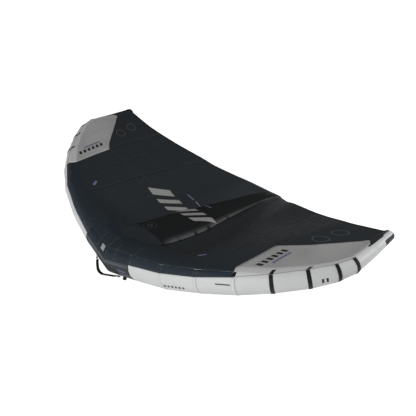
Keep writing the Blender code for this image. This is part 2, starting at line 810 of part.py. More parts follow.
def patch_border(s):
    return table_at(PATCH_SHARES, s)[0]


def constant(value):
    return lambda s: value


def chord_at(s):
    return (rear_edge(s) - front_edge(s)).length


def hem_start(s):
    return 1 - HEM_WIDTH / chord_at(s)


def before_hem(s):
    return 1 - (HEM_WIDTH + GAP) / chord_at(s)


def behind_seam(s):
    return FORWARD_SEAM + GAP / chord_at(s)


def behind_patch(s):
    return patch_border(s) + GAP / chord_at(s)


def make_canopy():
    first, second = BATTEN_STATIONS
    patch_end = PATCH_SHARES[-1][0]
    tip = LAST_STATION - 1 + TIP_CAP_SHARE
    for word, side in SIDES:
        inner = signed(rows_between(INNER_EDGE_STATION, first), side)
        front = canopy_sheet(inner, constant(0), constant(FORWARD_SEAM), on_tube=True)
        shell_object(f"canopy_inner_front_{word}", front, "canopy_cloth")
        rear = canopy_sheet(inner, behind_seam, before_hem)
        shell_object(f"canopy_inner_rear_{word}", rear, "canopy_cloth")
        middle = signed(rows_between(first, second), side)
        sheet = canopy_sheet(middle, constant(0), before_hem, on_tube=True)
        shell_object(f"canopy_middle_{word}", sheet, "canopy_cloth")
        outer = signed(rows_between(second, PATCH_STATION), side)
        sheet = canopy_sheet(outer, constant(0), before_hem, on_tube=True)
        shell_object(f"canopy_outer_{word}", sheet, "canopy_cloth")
        pale = signed(rows_between(PATCH_STATION, patch_end), side)
        sheet = canopy_sheet(pale, constant(0), patch_border, PATCH_COUNT, True)
        shell_object(f"canopy_tip_patch_{word}", sheet, "grey_cloth")
        sheet = canopy_sheet(pale, behind_patch, before_hem, TIP_PANEL_COUNT)
        shell_object(f"canopy_tip_panel_{word}", sheet, "canopy_cloth")
        corner = signed(rows_between(patch_end + 2 * STATION_GAP, tip), side)
        sheet = canopy_sheet(corner, constant(0), before_hem, TIP_PANEL_COUNT, True)
        shell_object(f"canopy_tip_corner_{word}", sheet, "black_cloth")


def make_nose_panel():
    """Canopy over the nose, from the tube to the front of the strut panel."""
    reach = INNER_EDGE_STATION - STATION_GAP
    stations = [-reach, -reach / 2, 0.0, reach / 2, reach]
    steps = 4
    outer = []
    inner = []
    for s in stations:
        across = s / INNER_EDGE_STATION
        start = mirrored(front_edge(s), -1 if s < 0 else 1)
        end = strut_top_point(across, STRUT_START_SHARE) - Vector((0, GAP, 0))
        top = [start.lerp(end, k / steps) for k in range(steps + 1)]
        low = [p - Vector((0, 0, CANOPY_CLOTH)) for p in top]
        outer.append(skin_on_tube(s, CANOPY_CLEARANCE + CANOPY_CLOTH) + top[1:])
        inner.append(skin_on_tube(s, CANOPY_CLEARANCE) + low[1:])
    shell_object("canopy_nose_panel", (outer, inner), "canopy_cloth")


def hem_rows(side):
    stations = rows_between(INNER_EDGE_STATION, LAST_STATION - 1 + TIP_CAP_SHARE)
    return signed(stations, side)


def make_hems():
    """Folded tape along the trailing edge."""
    hems = {}
    for word, side in SIDES:
        outer = []
        inner = []
        for s in hem_rows(side):
            shares = (hem_start(s), (hem_start(s) + 1) / 2, 1.0)
            outer.append([canopy_point(s, v) + canopy_normal(s, v) * CANOPY_CLOTH for v in shares])
            inner.append([canopy_under(s, v, 2 * CANOPY_CLOTH) for v in shares])
        hems[word] = shell_object(f"trailing_edge_hem_{word}", (outer, inner), "black_cloth")
    return hems


def neighbours(values, place):
    """The two values of a rising list round a place, and the share between."""
    i = max(k for k in range(len(values) - 1) if values[k] <= place or k == 0)
    return values[i], values[i + 1], (place - values[i]) / (values[i + 1] - values[i])


def sewn_point(s, v):
    """Point on the canopy as its flat facets lie, not on the smooth surface."""
    side = -1 if s < 0 else 1
    low, high, f = neighbours(sorted(set(INNER_ROWS + OUTER_ROWS)), abs(s))
    front, rear, t = neighbours(CHORD_SHARES + [before_hem(s), 1.0], v)
    near = canopy_point(low * side, front).lerp(canopy_point(high * side, front), f)
    far = canopy_point(low * side, rear).lerp(canopy_point(high * side, rear), f)
    return near.lerp(far, t)


def across_canopy(s, v, offset, depth):
    """Point beside a chord line, at a depth under the canopy's upper face."""
    side = -1 if s < 0 else 1
    step = canopy_point(s + DIFFERENCE_SHARE * side, v) - canopy_point(s, v)
    shift = offset * DIFFERENCE_SHARE / step.length
    return sewn_point(s + shift * side, v) - canopy_normal(s, v) * depth


def make_battens(hems):
    """Battens at the trailing edge, in pockets sewn to the hem."""
    half = BATTEN_WIDTH / 2
    inside = half + GAP
    wall = inside + POCKET_CLOTH
    flange = half + POCKET_MARGIN
    top = CANOPY_CLOTH + POCKET_CLEARANCE
    floor = top + BATTEN_THICKNESS + GAP
    under = top + POCKET_CLOTH
    upper = ((-flange, top), (-inside, top), (-inside, floor), (inside, floor), (inside, top), (flange, top))
    lower = ((-flange, under), (-wall, under), (-wall, floor + POCKET_CLOTH), (wall, floor + POCKET_CLOTH),
             (wall, under), (flange, under))
    for word, side in SIDES:
        for place, station in zip(("inner", "outer"), BATTEN_STATIONS):
            s = station * side
            chord = chord_at(s)
            v_end = hem_start(s) - BATTEN_MARGIN / chord
            v_start = v_end - BATTEN_LENGTH / chord
            shares = [v_start + (v_end - v_start) * k / BATTEN_STEPS for k in range(BATTEN_STEPS + 1)]
            rows = [[across_canopy(s, v, x, top) for x in (-half, half)] for v in shares]
            low = [[across_canopy(s, v, x, top + BATTEN_THICKNESS) for x in (-half, half)] for v in shares]
            shell_object(f"{place}_batten_{word}", (rows, low), "grey_plastic")
            shares += [hem_start(s) + HEM_WIDTH / 2 / chord]
            outer = [[across_canopy(s, v, x, depth) for x, depth in upper] for v in shares]
            inner = [[across_canopy(s, v, x, depth) for x, depth in lower] for v in shares]
            guide = shell_object(f"{place}_pocket_shape_{word}", (outer, inner), "black_cloth")
            combine(hems[word], guide, "UNION")


# Strut

def strut_axis_height(share):
    _, _, crown, radius = strut_values(share)
    return crown - CANOPY_CLOTH - GAP - radius


def strut_ring(share, lift, step=1):
    radius = strut_values(share)[3] + lift
    height = strut_axis_height(share)
    ring = []
    for k in range(0, STRUT_SIDES, step):
        turn = 2 * math.pi * k / STRUT_SIDES
        place = Vector((math.sin(turn) * radius, share * ROOT_CHORD_LENGTH, height + math.cos(turn) * radius))
        ring.append(place)
    return ring


def tube_rear_y(x, z):
    """How far aft the back of the tube reaches at a place beside the nose."""
    s = abs(x) / tube_centre(CENTRE_STATION).x
    angle = 180
    for _ in range(REFINE_STEPS):
        low, high = 90, 270
        for _ in range(REFINE_STEPS):
            angle = (low + high) / 2
            if tube_at_angle(s, angle).z > z:
                low = angle
            else:
                high = angle
        s += (abs(x) - tube_at_angle(s, angle).x) / tube_centre(CENTRE_STATION).x
        s = max(s, 0)
    return tube_at_angle(s, angle).y


def saddle_ring(lift):
    """Front ring of the strut, cut to the round back of the leading edge."""
    ring = strut_ring(STRUT_START_SHARE, lift)
    return [Vector((p.x, tube_rear_y(p.x, p.z) + SADDLE_CLEARANCE, p.z)) for p in ring]


def strut_panel_point(across, share, depth):
    return strut_top_point(across, share) - Vector((0, 0, depth))


def make_strut_panel():
    shares = strut_shares(len(STRUT_STATION_SHARES))
    count = STRUT_PANEL_ACROSS
    outer = []
    inner = []
    for share in shares:
        drawn_in = 1 - (CANOPY_CLOTH + GAP) / strut_values(share)[0]
        spread = [(2 * k / count - 1) * drawn_in for k in range(count + 1)]
        outer.append([strut_panel_point(a, share, 0) for a in spread])
        inner.append([strut_panel_point(a, share, CANOPY_CLOTH) for a in spread])
    return shell_object("strut_top_panel", (outer, inner), "black_cloth")


def make_strut_sleeve():
    shares = strut_shares(STRUT_TUBE_STATIONS)
    outer = [saddle_ring(0)] + [strut_ring(share, 0) for share in shares]
    inner = [saddle_ring(-SLEEVE_WALL)] + [strut_ring(share, -SLEEVE_WALL) for share in shares]
    return shell_object("strut_sleeve", (outer, inner), "black_cloth", wrap=True)


def make_strut_bladder():
    lift = -SLEEVE_WALL - BLADDER_CLEARANCE
    shares = [STRUT_BLADDER_START_SHARE] + strut_shares(STRUT_TUBE_STATIONS)[:-1]
    bm = bmesh.new()
    for depth in (0.0, BLADDER_WALL):
        rows = [strut_ring(share, lift - depth, 2) for share in shares]
        for end, sign in ((0, 1), (-1, -1)):
            rows[end] = [p + Vector((0, depth * sign, 0)) for p in rows[end]]
        _, faces = add_vessel(bm, rows, (0, -1))
        bmesh.ops.recalc_face_normals(bm, faces=faces)
        if depth:
            bmesh.ops.reverse_faces(bm, faces=faces)
    return finish_mesh("strut_bladder", bm, "bladder_film", recalculate=False)


def make_strut_cap():
    """Domed cap that closes the rear end of the strut."""
    share = STRUT_STATION_SHARES[STRUT_TUBE_STATIONS - 1][0]
    radius = strut_values(share)[3]
    rings = []
    for k in range(TIP_DOME_STEPS + 1):
        turn = math.radians(90 * k / (TIP_DOME_STEPS + 0.5))
        centre = Vector((0, share * ROOT_CHORD_LENGTH, strut_axis_height(share)))
        shrink = math.cos(turn)
        base = strut_ring(share, 0)
        ring = [centre + (p - centre) * shrink for p in base]
        rings.append([p + Vector((0, GAP + radius / 2 * math.sin(turn), 0)) for p in ring])
    loft_object("strut_end_cap", rings, "black_cloth")


# Solids turned or swept about a line

def frame_matrix(outward, along):
    """Axes of a fitting: Z outward, X along a given direction."""
    z = outward.normalized()
    x = (along - z * along.dot(z)).normalized()
    y = z.cross(x)
    return Matrix((x, y, z)).transposed()


def turned(name, profile, slot, place, outward, along, pivot=None, segments=VALVE_SEGMENTS):
    """Closed solid turned from (radius, height) points about the outward axis."""
    turn = frame_matrix(outward, along)
    bm = bmesh.new()
    rings = []
    for k in range(segments):
        angle = 2 * math.pi * k / segments
        rings.append([Vector((r * math.cos(angle), r * math.sin(angle), h)) for r, h in profile])
    verts = [[bm.verts.new(turn @ p + place) for p in ring] for ring in rings]
    count = len(profile)
    for k in range(segments):
        for c in range(count):
            d = (c + 1) % count
            near, far = verts[k], verts[(k + 1) % segments]
            bm.faces.new((near[c], near[d], far[d]))
            bm.faces.new((near[c], far[d], far[c]))
    return finish_mesh(name, bm, slot, pivot)


def cylinder_between(start, end, radius, segments=16):
    """Rings of a plain cylinder from start to end."""
    along = (end - start).normalized()
    side = along.orthogonal().normalized()
    up = along.cross(side)
    rings = []
    for place in (start, end):
        angles = [2 * math.pi * k / segments for k in range(segments)]
        rings.append([place + side * (radius * math.cos(a)) + up * (radius * math.sin(a)) for a in angles])
    return rings


def box_rings(place, x_dir, y_dir, z_dir, size):
    """Rings of a box that stands on place along z_dir."""
    half_x, half_y, height = size[0] / 2, size[1] / 2, size[2]
    corners = ((-1, -1), (1, -1), (1, 1), (-1, 1))
    rings = []
    for level in (0, height):
        middle = place + z_dir * level
        rings.append([middle + x_dir * (half_x * a) + y_dir * (half_y * b) for a, b in corners])
    return rings


def strap_rings(path, width_dir, width, thickness):
    """Rings of a flat strap along a path, its width along one direction."""
    rings = []
    for k, place in enumerate(path):
        ahead = path[min(k + 1, len(path) - 1)] - path[max(k - 1, 0)]
        face = ahead.cross(width_dir).normalized()
        across = width_dir.normalized()
        corners = ((-1, -1), (1, -1), (1, 1), (-1, 1))
        rings.append([place + across * (width / 2 * a) + face * (thickness / 2 * b) for a, b in corners])
    return rings


def rounded_path(corners, radius, steps=4):
    """Path through corners with each bend rounded."""
    path = [corners[0]]
    for before, corner, after in zip(corners, corners[1:], corners[2:]):
        reach = min(radius, (corner - before).length / 2, (after - corner).length / 2)
        start = corner + (before - corner).normalized() * reach
        end = corner + (after - corner).normalized() * reach
        for k in range(steps + 1):
            t = k / steps
            place = start * (1 - t) ** 2 + corner * (2 * t * (1 - t)) + end * t ** 2
            if (place - path[-1]).length > GAP:
                path.append(place)
    return path + [corners[-1]]


def pipe_rings(path, radius, segments=14):
    """Rings of a round bar along a path in one plane."""
    rings = []
    first = (path[1] - path[0]).normalized()
    side = first.orthogonal().normalized()
    for k, place in enumerate(path):
        along = (path[min(k + 1, len(path) - 1)] - path[max(k - 1, 0)]).normalized()
        side = (side - along * side.dot(along)).normalized()
        up = along.cross(side)
        angles = [2 * math.pi * c / segments for c in range(segments)]
        rings.append([place + side * (radius * math.cos(a)) + up * (radius * math.sin(a)) for a in angles])
    return rings


def combine(target, guide, operation):
    guide.hide_render = True
    guide.display_type = "WIRE"
    modifier = target.modifiers.new(guide.name, "BOOLEAN")
    modifier.operation = operation
    modifier.object = guide


def shape_with(target, name, rings, operation):
    """Add or cut one lofted shape; the shape stays in the file as a guide."""
    combine(target, loft_object(name, rings, "black_plastic"), operation)


def cut_hole(target, name, start, end, radius, segments=24):
    shape_with(target, name, cylinder_between(start, end, radius, segments), "DIFFERENCE")


def prism_object(name, profile, place, x_dir, y_dir, half_width, slot, pivot=None):
    """Solid with a flat outline, pushed out both ways across its plane."""
    across = x_dir.cross(y_dir).normalized()
    bm = bmesh.new()
    near = [bm.verts.new(place + x_dir * x + y_dir * y - across * half_width) for x, y in profile]
    far = [bm.verts.new(place + x_dir * x + y_dir * y + across * half_width) for x, y in profile]
    for c in range(len(profile)):
        d = (c + 1) % len(profile)
        bm.faces.new((near[c], near[d], far[d], far[c]))
    bm.faces.new(near)
    bm.faces.new(far)
    bmesh.ops.triangulate(bm, faces=[face for face in bm.faces if len(face.verts) > 4])
    return finish_mesh(name, bm, slot, pivot)


# Nose handle, leash loop, tag and zip

def nose_axis_point(side):
    angle = NOSE_ANCHOR_ANGLES[0] if side < 0 else NOSE_ANCHOR_ANGLES[1]
    return tube_at_angle(station_of_x(NOSE_ANCHOR_X) * side, angle, NOSE_ANCHOR_LIFT)


NOSE_LEFT = nose_axis_point(-1)
NOSE_RIGHT = nose_axis_point(1)
NOSE_AXIS = (NOSE_RIGHT - NOSE_LEFT).normalized()


def make_nose_handle():
    pivot = new_pivot("nose_handle_pivot", NOSE_LEFT)
    run = (NOSE_RIGHT - NOSE_LEFT).length
    down = Vector((0, 0, -1))
    down = (down - NOSE_AXIS * down.dot(NOSE_AXIS)).normalized()
    width_dir = down.cross(NOSE_AXIS).normalized()
    corners = [
        NOSE_LEFT,
        NOSE_LEFT + NOSE_AXIS * (run * 0.06) + down * (NOSE_HANDLE_DROP * 0.2),
        NOSE_LEFT + NOSE_AXIS * (run * 0.07) + down * NOSE_HANDLE_DROP,
        NOSE_LEFT + NOSE_AXIS * (run * 0.30) + down * (NOSE_HANDLE_DROP * 0.95),
        NOSE_LEFT + NOSE_AXIS * (run * 0.90) + down * (NOSE_HANDLE_DROP * 0.20),
        NOSE_RIGHT,
    ]
    path = rounded_path(corners, NOSE_HANDLE_DROP * 0.3)
    rings = strap_rings(path, width_dir, NOSE_WEBBING_WIDTH, NOSE_WEBBING_THICKNESS)
    half_w = width_dir * (NOSE_WEBBING_WIDTH / 2)
    half_t = down * (NOSE_WEBBING_THICKNESS / 2)
    for end, place in ((0, NOSE_LEFT), (-1, NOSE_RIGHT)):
        upper, lower = place - half_t, place + half_t
        rings[end] = [upper - half_w, upper + half_w, lower + half_w, lower - half_w]
    loft_object("nose_handle_webbing", rings, "webbing", pivot)
    base_patch = make_nose_patch()
    foot_lift = 2 * GAP + SLEEVE_WALL / 2
    for word, side, place, angle in (
        ("left", -1, NOSE_LEFT, NOSE_ANCHOR_ANGLES[0]), ("right", 1, NOSE_RIGHT, NOSE_ANCHOR_ANGLES[1]),
    ):
        centre = place + NOSE_AXIS * (side * (GAP + NOSE_ANCHOR_LENGTH / 2))
        outward = place - tube_at_angle(station_of_x(NOSE_ANCHOR_X) * side, angle, 0)
        outward = (outward - NOSE_AXIS * outward.dot(NOSE_AXIS)).normalized()
        across = outward.cross(NOSE_AXIS)
        size = (NOSE_ANCHOR_LENGTH, NOSE_ANCHOR_WIDTH, NOSE_WEBBING_THICKNESS)
        _, top = box_rings(centre, NOSE_AXIS, across, outward, size)
        station = station_of_x(NOSE_ANCHOR_X) * side
        low = [drop_to_tube(corner, -outward, foot_lift, station, angle) for corner in top]
        shape_with(base_patch, f"nose_handle_tab_{word}", [low, top], "UNION")


def make_nose_patch():
    """Reinforcing patch sewn on the tube under the nose handle."""
    reach = station_of_x(NOSE_PATCH_HALF_LENGTH)
    rows = [-reach, -reach / 2, 0.0, reach / 2, reach]
    outer = []
    inner = []
    for s in rows:
        t = (s / reach + 1) / 2
        middle = NOSE_ANCHOR_ANGLES[0] + (NOSE_ANCHOR_ANGLES[1] - NOSE_ANCHOR_ANGLES[0]) * t
        angles = [middle + NOSE_PATCH_HALF_ANGLE * (k / 3 * 2 - 1) for k in range(4)]
        outer.append([tube_at_angle(s, a, GAP * 2 + SLEEVE_WALL) for a in angles])
        inner.append([tube_at_angle(s, a, GAP * 2) for a in angles])
    return shell_object("nose_handle_patch", (outer, inner), "black_cloth")


def loop_strap(foot, outward, along, span, height, width, cloth):
    """Strap rings of a small webbing loop standing on a surface."""
    across = outward.cross(along).normalized()
    lift = outward * (cloth / 2 + GAP)
    corners = [
        foot + along * (span / 2) + lift,
        foot + along * (span / 4) + lift,
        foot + along * (span / 4) + outward * height,
        foot - along * (span / 4) + outward * height,
        foot - along * (span / 4) + lift,
        foot - along * (span / 2) + lift,
    ]
    return strap_rings(rounded_path(corners, height * LOOP_BEND_SHARE, 3), across, width, cloth)


def make_leash_loop():
    station = station_of_x(LEASH_LOOP_X)
    foot = tube_at_angle(station, LEASH_LOOP_ANGLE, -LEASH_LOOP_SINK)
    outward = tube_normal(station, LEASH_LOOP_ANGLE)
    along = tube_direction(0)
    along = (along - outward * along.dot(outward)).normalized()
    rings = loop_strap(foot, outward, along, LEASH_LOOP_SPAN,
                       LEASH_LOOP_HEIGHT, LEASH_LOOP_WIDTH, LEASH_LOOP_CLOTH)
    loft_object("leash_loop", rings, "webbing")


def make_label_tag():
    stations = [TAG_STATION - TAG_HALF_REACH_SHARE, TAG_STATION, TAG_STATION + TAG_HALF_REACH_SHARE]
    low, high = TAG_ANGLES
    angles = [low + (high - low) * k / 3 for k in range(4)]
    base = 2 * GAP
    outer = [[tube_at_angle(s, a, base + TAG_THICKNESS) for a in angles] for s in stations]
    inner = [[tube_at_angle(s, a, base) for a in angles] for s in stations]
    shell_object("label_tag", (outer, inner), "grey_cloth")


def zip_place(t, lift):
    s = ZIP_START_STATION + (ZIP_END_STATION - ZIP_START_STATION) * t
    return tube_at_angle(s, ZIP_ANGLE, lift)


def make_zip():
    steps = 4
    outer = []
    inner = []
    for k in range(steps + 1):
        s = ZIP_START_STATION + (ZIP_END_STATION - ZIP_START_STATION) * k / steps
        angles = [ZIP_ANGLE + ZIP_HALF_ANGLE * (c / 2 - 1) for c in range(5)]
        outer.append([tube_at_angle(s, a, GAP * 2 + ZIP_THICKNESS) for a in angles])
        inner.append([tube_at_angle(s, a, GAP * 2) for a in angles])
    shell_object("bladder_zip_tape", (outer, inner), "black_cloth")
    base_lift = GAP * 3 + ZIP_THICKNESS
    place = zip_place(ZIP_SLIDER_SHARE, base_lift)
    along = (zip_place(1, base_lift) - zip_place(0, base_lift)).normalized()
    outward = tube_normal(ZIP_START_STATION, ZIP_ANGLE)
    pivot = new_pivot("zip_slider_pivot", place)
    half = ZIP_SLIDER_LENGTH / 2
    top = ZIP_SLIDER_HEIGHT + ZIP_THICKNESS
    pull_low = ZIP_SLIDER_HEIGHT / 2
    pull_top = pull_low + ZIP_THICKNESS
    profile = [(-half, 0), (half, 0), (half, pull_low), (ZIP_PULL_LENGTH, pull_low)]
    profile += [(ZIP_PULL_LENGTH, pull_top), (half, pull_top), (half / 2, top), (-half / 2, top)]
    wide = ZIP_SLIDER_WIDTH / 2
    prism_object("bladder_zip_slider", profile, place, along, outward, wide, "grey_plastic", pivot)


# Inflation valve

def valve_axes():
    foot = tube_at_angle(VALVE_STATION, VALVE_ANGLE)
    outward = tube_normal(VALVE_STATION, VALVE_ANGLE)
    along = mirrored(tube_direction(0), -1)
    along = (along - outward * along.dot(outward)).normalized()
    return foot, outward, along


VALVE_FOOT, VALVE_OUT, VALVE_ALONG = valve_axes()
VALVE_TURN = frame_matrix(VALVE_OUT, VALVE_ALONG)
VALVE_FLANGE_TOP = GAP + VALVE_FLANGE_THICKNESS
VALVE_TOP = VALVE_FLANGE_TOP + VALVE_HEAD_HEIGHT
VALVE_CAP_BORE = VALVE_BODY_RADIUS + 2 * GAP
VALVE_HINGE_X = VALVE_CAP_BORE + VALVE_CAP_WALL + GAP + VALVE_BARREL_RADIUS
VALVE_HINGE_HEIGHT = VALVE_FLANGE_TOP + GAP + VALVE_BARREL_RADIUS
VALVE_EAR_INSIDE = VALVE_BARREL_LENGTH / 2 + GAP


def on_valve(x, y, height):
    return VALVE_TURN @ Vector((x, y, height)) + VALVE_FOOT


def valve_box(x, y, height, size):
    x_dir, y_dir, z_dir = (Vector(column) for column in VALVE_TURN.transposed())
    return box_rings(on_valve(x, y, height), x_dir, y_dir, z_dir, size)


def make_valve(sleeve, bladder):
    start = VALVE_FOOT - VALVE_OUT * (VALVE_DEPTH + CUT_OVERRUN)
    end = VALVE_FOOT + VALVE_OUT * (VALVE_TOP + CUT_OVERRUN)
    for target, name in ((sleeve, "valve_hole_sleeve"), (bladder, "valve_hole_bladder")):
        cut_hole(target, name, start, end, VALVE_BODY_RADIUS + 2 * GAP)
    outline = [
        (VALVE_BORE_RADIUS, -VALVE_DEPTH), (VALVE_BODY_RADIUS, -VALVE_DEPTH), (VALVE_BODY_RADIUS, GAP),
        (VALVE_FLANGE_RADIUS, GAP), (VALVE_FLANGE_RADIUS, VALVE_FLANGE_TOP),
        (VALVE_BODY_RADIUS, VALVE_FLANGE_TOP), (VALVE_BODY_RADIUS, VALVE_TOP), (VALVE_BORE_RADIUS, VALVE_TOP),
    ]
    body = turned("valve_body", outline, "black_plastic", VALVE_FOOT, VALVE_OUT, VALVE_ALONG)
    ear_height = GAP + 2 * VALVE_BARREL_RADIUS + VALVE_FLANGE_THICKNESS / 2
    ear = (2 * VALVE_BARREL_RADIUS, VALVE_EAR_THICKNESS, ear_height)
    for word, side in SIDES:
        place = side * (VALVE_EAR_INSIDE + VALVE_EAR_THICKNESS / 2)
        low = VALVE_FLANGE_TOP - VALVE_FLANGE_THICKNESS / 2
        shape_with(body, f"valve_ear_{word}", valve_box(VALVE_HINGE_X, place, low, ear), "UNION")
    reach = VALVE_EAR_INSIDE + VALVE_EAR_THICKNESS / 2
    pin = cylinder_between(on_valve(VALVE_HINGE_X, -reach, VALVE_HINGE_HEIGHT),
                           on_valve(VALVE_HINGE_X, reach, VALVE_HINGE_HEIGHT), VALVE_PIN_RADIUS, 12)
    shape_with(body, "valve_hinge_pin", pin, "UNION")
    make_valve_core()
    make_valve_cap()


def make_valve_core():
    """Insert that turns in the valve to let the air out, with a grip bar."""
    radius = VALVE_BORE_RADIUS - GAP
    low = VALVE_TOP - VALVE_CORE_HEIGHT
    floor = low + VALVE_CORE_HEIGHT / 3
    rim = radius - VALVE_CORE_WALL
    outline = [(VALVE_CORE_BORE, low), (radius, low), (radius, VALVE_TOP), (rim, VALVE_TOP), (rim, floor),
               (VALVE_CORE_BORE, floor)]
    pivot = new_pivot("valve_core_pivot", VALVE_FOOT)
    core = turned("valve_core", outline, "grey_plastic", VALVE_FOOT, VALVE_OUT, VALVE_ALONG, pivot)
    size = (2 * rim + VALVE_CORE_WALL, VALVE_CORE_WALL, VALVE_CORE_HEIGHT / 2)
    shape_with(core, "valve_core_bar", valve_box(0, 0, floor - VALVE_CORE_WALL, size), "UNION")


def make_valve_cap():
    """Lid over the valve, hung on a small pin hinge at the flange's rim."""
    hinge = on_valve(VALVE_HINGE_X, 0, VALVE_HINGE_HEIGHT)
    pivot = new_pivot("valve_cap_pivot", hinge)
    low = VALVE_FLANGE_TOP + 2 * GAP
    under = VALVE_TOP + GAP
    top = under + VALVE_CAP_WALL
    outside = VALVE_CAP_BORE + VALVE_CAP_WALL
    outline = [(0, under), (VALVE_CAP_BORE, under), (VALVE_CAP_BORE, low), (outside, low),
               (outside, top - VALVE_CAP_WALL / 2), (outside - VALVE_CAP_WALL / 2, top), (0, top)]
    cap = turned("valve_cap", outline, "black_plastic", VALVE_FOOT, VALVE_OUT, VALVE_ALONG, pivot)
    half = VALVE_BARREL_LENGTH / 2
    ends = [on_valve(VALVE_HINGE_X, y, VALVE_HINGE_HEIGHT) for y in (-half, half)]
    shape_with(cap, "valve_cap_barrel", cylinder_between(*ends, VALVE_BARREL_RADIUS, 16), "UNION")
    tab_length = VALVE_HINGE_X - outside + VALVE_CAP_WALL / 2
    tab_start = outside - VALVE_CAP_WALL / 2
    size = (tab_length, VALVE_BARREL_LENGTH * 0.8, VALVE_BARREL_RADIUS * 0.9)
    place = valve_box(tab_start + tab_length / 2, 0, VALVE_HINGE_HEIGHT, size)
    shape_with(cap, "valve_cap_tab", place, "UNION")
    ends = [on_valve(VALVE_HINGE_X, y * 2, VALVE_HINGE_HEIGHT) for y in (-half, half)]
    cut_hole(cap, "valve_cap_pin_hole", *ends, VALVE_PIN_RADIUS + GAP, 12)


# One-pump hose

def hose_ends():
    s = station_of_x(HOSE_PORT_X)
    foot = tube_at_angle(s, HOSE_PORT_ANGLE)
    outward = tube_normal(s, HOSE_PORT_ANGLE)
    share = HOSE_STRUT_SHARE
    port = Vector((strut_values(share)[3], share * ROOT_CHORD_LENGTH, strut_axis_height(share)))
    return foot, outward, port, Vector((1, 0, 0))


def port_rings(place, outward):
    """Rings of a hose port: a bored flange with a nipple for the hose."""
    turn = frame_matrix(outward, Vector((0, 0, 1)))
    nipple = HOSE_BORE_RADIUS - GAP
    flange_top = GAP + HOSE_PORT_THICKNESS
    tip = flange_top + HOSE_NIPPLE_LENGTH
    outline = [(HOSE_PORT_BORE, GAP), (HOSE_PORT_RADIUS, GAP), (HOSE_PORT_RADIUS, flange_top),
               (nipple, flange_top), (nipple, tip), (HOSE_PORT_BORE, tip)]
    rows = []
    for radius, height in outline:
        row = []
        for k in range(PORT_SEGMENTS):
            angle = 2 * math.pi * k / PORT_SEGMENTS
            row.append(turn @ Vector((radius * math.cos(angle), radius * math.sin(angle), height)) + place)
        rows.append(row)
    return rows


def hose_curve_points():
    foot, outward, port, port_out = hose_ends()
    root = 2 * GAP + HOSE_PORT_THICKNESS
    straight = root + HOSE_NIPPLE_LENGTH + GAP
    start = foot + outward * straight
    end = port + port_out * straight
    reach = (end - start).length * HOSE_SWEEP_SHARE
    handles = (start, start + outward * reach, end + port_out * reach, end)
    points = [foot + outward * root]
    for k in range(HOSE_STEPS + 1):
        t = k / HOSE_STEPS
        a, b, c, d = (1 - t) ** 3, 3 * t * (1 - t) ** 2, 3 * t ** 2 * (1 - t), t ** 3
        points.append(handles[0] * a + handles[1] * b + handles[2] * c + handles[3] * d)
    return points + [port + port_out * root]


def make_hose(tube_sleeve, bladder, strut_sleeve, strut_bladder):
    foot, outward, port, port_out = hose_ends()
    for word, place, direction in (("tube", foot, outward), ("strut", port, port_out)):
        bm = bmesh.new()
        verts, _ = add_grid(bm, port_rings(place, direction), True)
        close_border(bm, verts[-1], verts[0], True)
        finish_mesh(f"hose_port_{word}", bm, "black_plastic")
    deep = HOSE_PORT_DEPTH
    for word, place, direction, targets in (
        ("tube", foot, outward, (("sleeve", tube_sleeve), ("bladder", bladder))),
        ("strut", port, port_out, (("sleeve", strut_sleeve), ("bladder", strut_bladder))),
    ):
        for layer, target in targets:
            name = f"{word}_port_hole_{layer}"
            cut_hole(target, name, place - direction * deep, place + direction * deep, HOSE_PORT_BORE, 16)
    points = hose_curve_points()
    outer = pipe_rings(points, HOSE_RADIUS, HOSE_SIDES)
    inner = pipe_rings(points, HOSE_BORE_RADIUS, HOSE_SIDES)
    shell_object("one_pump_hose", (outer, inner), "rubber_hose", wrap=True)
    make_hose_clamp(points)


def make_hose_clamp(points):
    """Clip that pinches the hose shut, with its lever on a cross pin."""
    middle = points[len(points) // 2]
    along = (points[len(points) // 2 + 1] - points[len(points) // 2 - 1]).normalized()
    down = Vector((0, 0, -1))
    down = (down - along * down.dot(along)).normalized()
    across = along.cross(down).normalized()
    clear = HOSE_RADIUS + CLAMP_CLEARANCE
    wide = clear + CLAMP_WALL
    barrel = CLAMP_PIN_RADIUS + GAP + CLAMP_WALL / 2
    rim = clear + GAP + 2 * barrel
    profile = [(-wide, -wide), (wide, -wide), (wide, rim), (clear, rim), (clear, -clear), (-clear, -clear),
               (-clear, rim), (-wide, rim)]
    body = prism_object("hose_clamp_body", profile, middle, across, down, CLAMP_LENGTH / 2, "grey_plastic")
    hinge = middle - along * (CLAMP_LENGTH / 2 - barrel) + down * (clear + GAP + barrel)
    reach = across * (clear + CLAMP_WALL / 2)
    pin = cylinder_between(hinge - reach, hinge + reach, CLAMP_PIN_RADIUS, 12)
    shape_with(body, "clamp_pin", pin, "UNION")
    pivot = new_pivot("hose_clamp_pivot", hinge)
    half = clear - GAP
    plate_length = CLAMP_LENGTH + CLAMP_TAB_LENGTH - barrel
    turns = [math.radians(30 + 240 * k / CLAMP_BARREL_STEPS) for k in range(CLAMP_BARREL_STEPS + 1)]
    plate = [(plate_length, -barrel), (plate_length, barrel / 2)]
    plate += [(math.cos(turn) * barrel, math.sin(turn) * barrel) for turn in turns]
    lever = prism_object("hose_clamp_lever", plate, hinge, along, down, half, "black_plastic", pivot)
    ends = (hinge - across * wide, hinge + across * wide)
    cut_hole(lever, "clamp_lever_pin_hole", *ends, CLAMP_PIN_RADIUS + GAP, 12)


# Strut handles

def strut_bottom(y):
    share = y / ROOT_CHORD_LENGTH
    return strut_axis_height(share) - strut_values(share)[3]


def strut_bottom_axes(y):
    """Place under the strut with its aft and outward directions."""
    reach = HARNESS_LOOP_SPAN / 2
    along = Vector((0, 2 * reach, strut_bottom(y + reach) - strut_bottom(y - reach))).normalized()
    return Vector((0, y, strut_bottom(y))), along, Vector((0, along.z, -along.y))


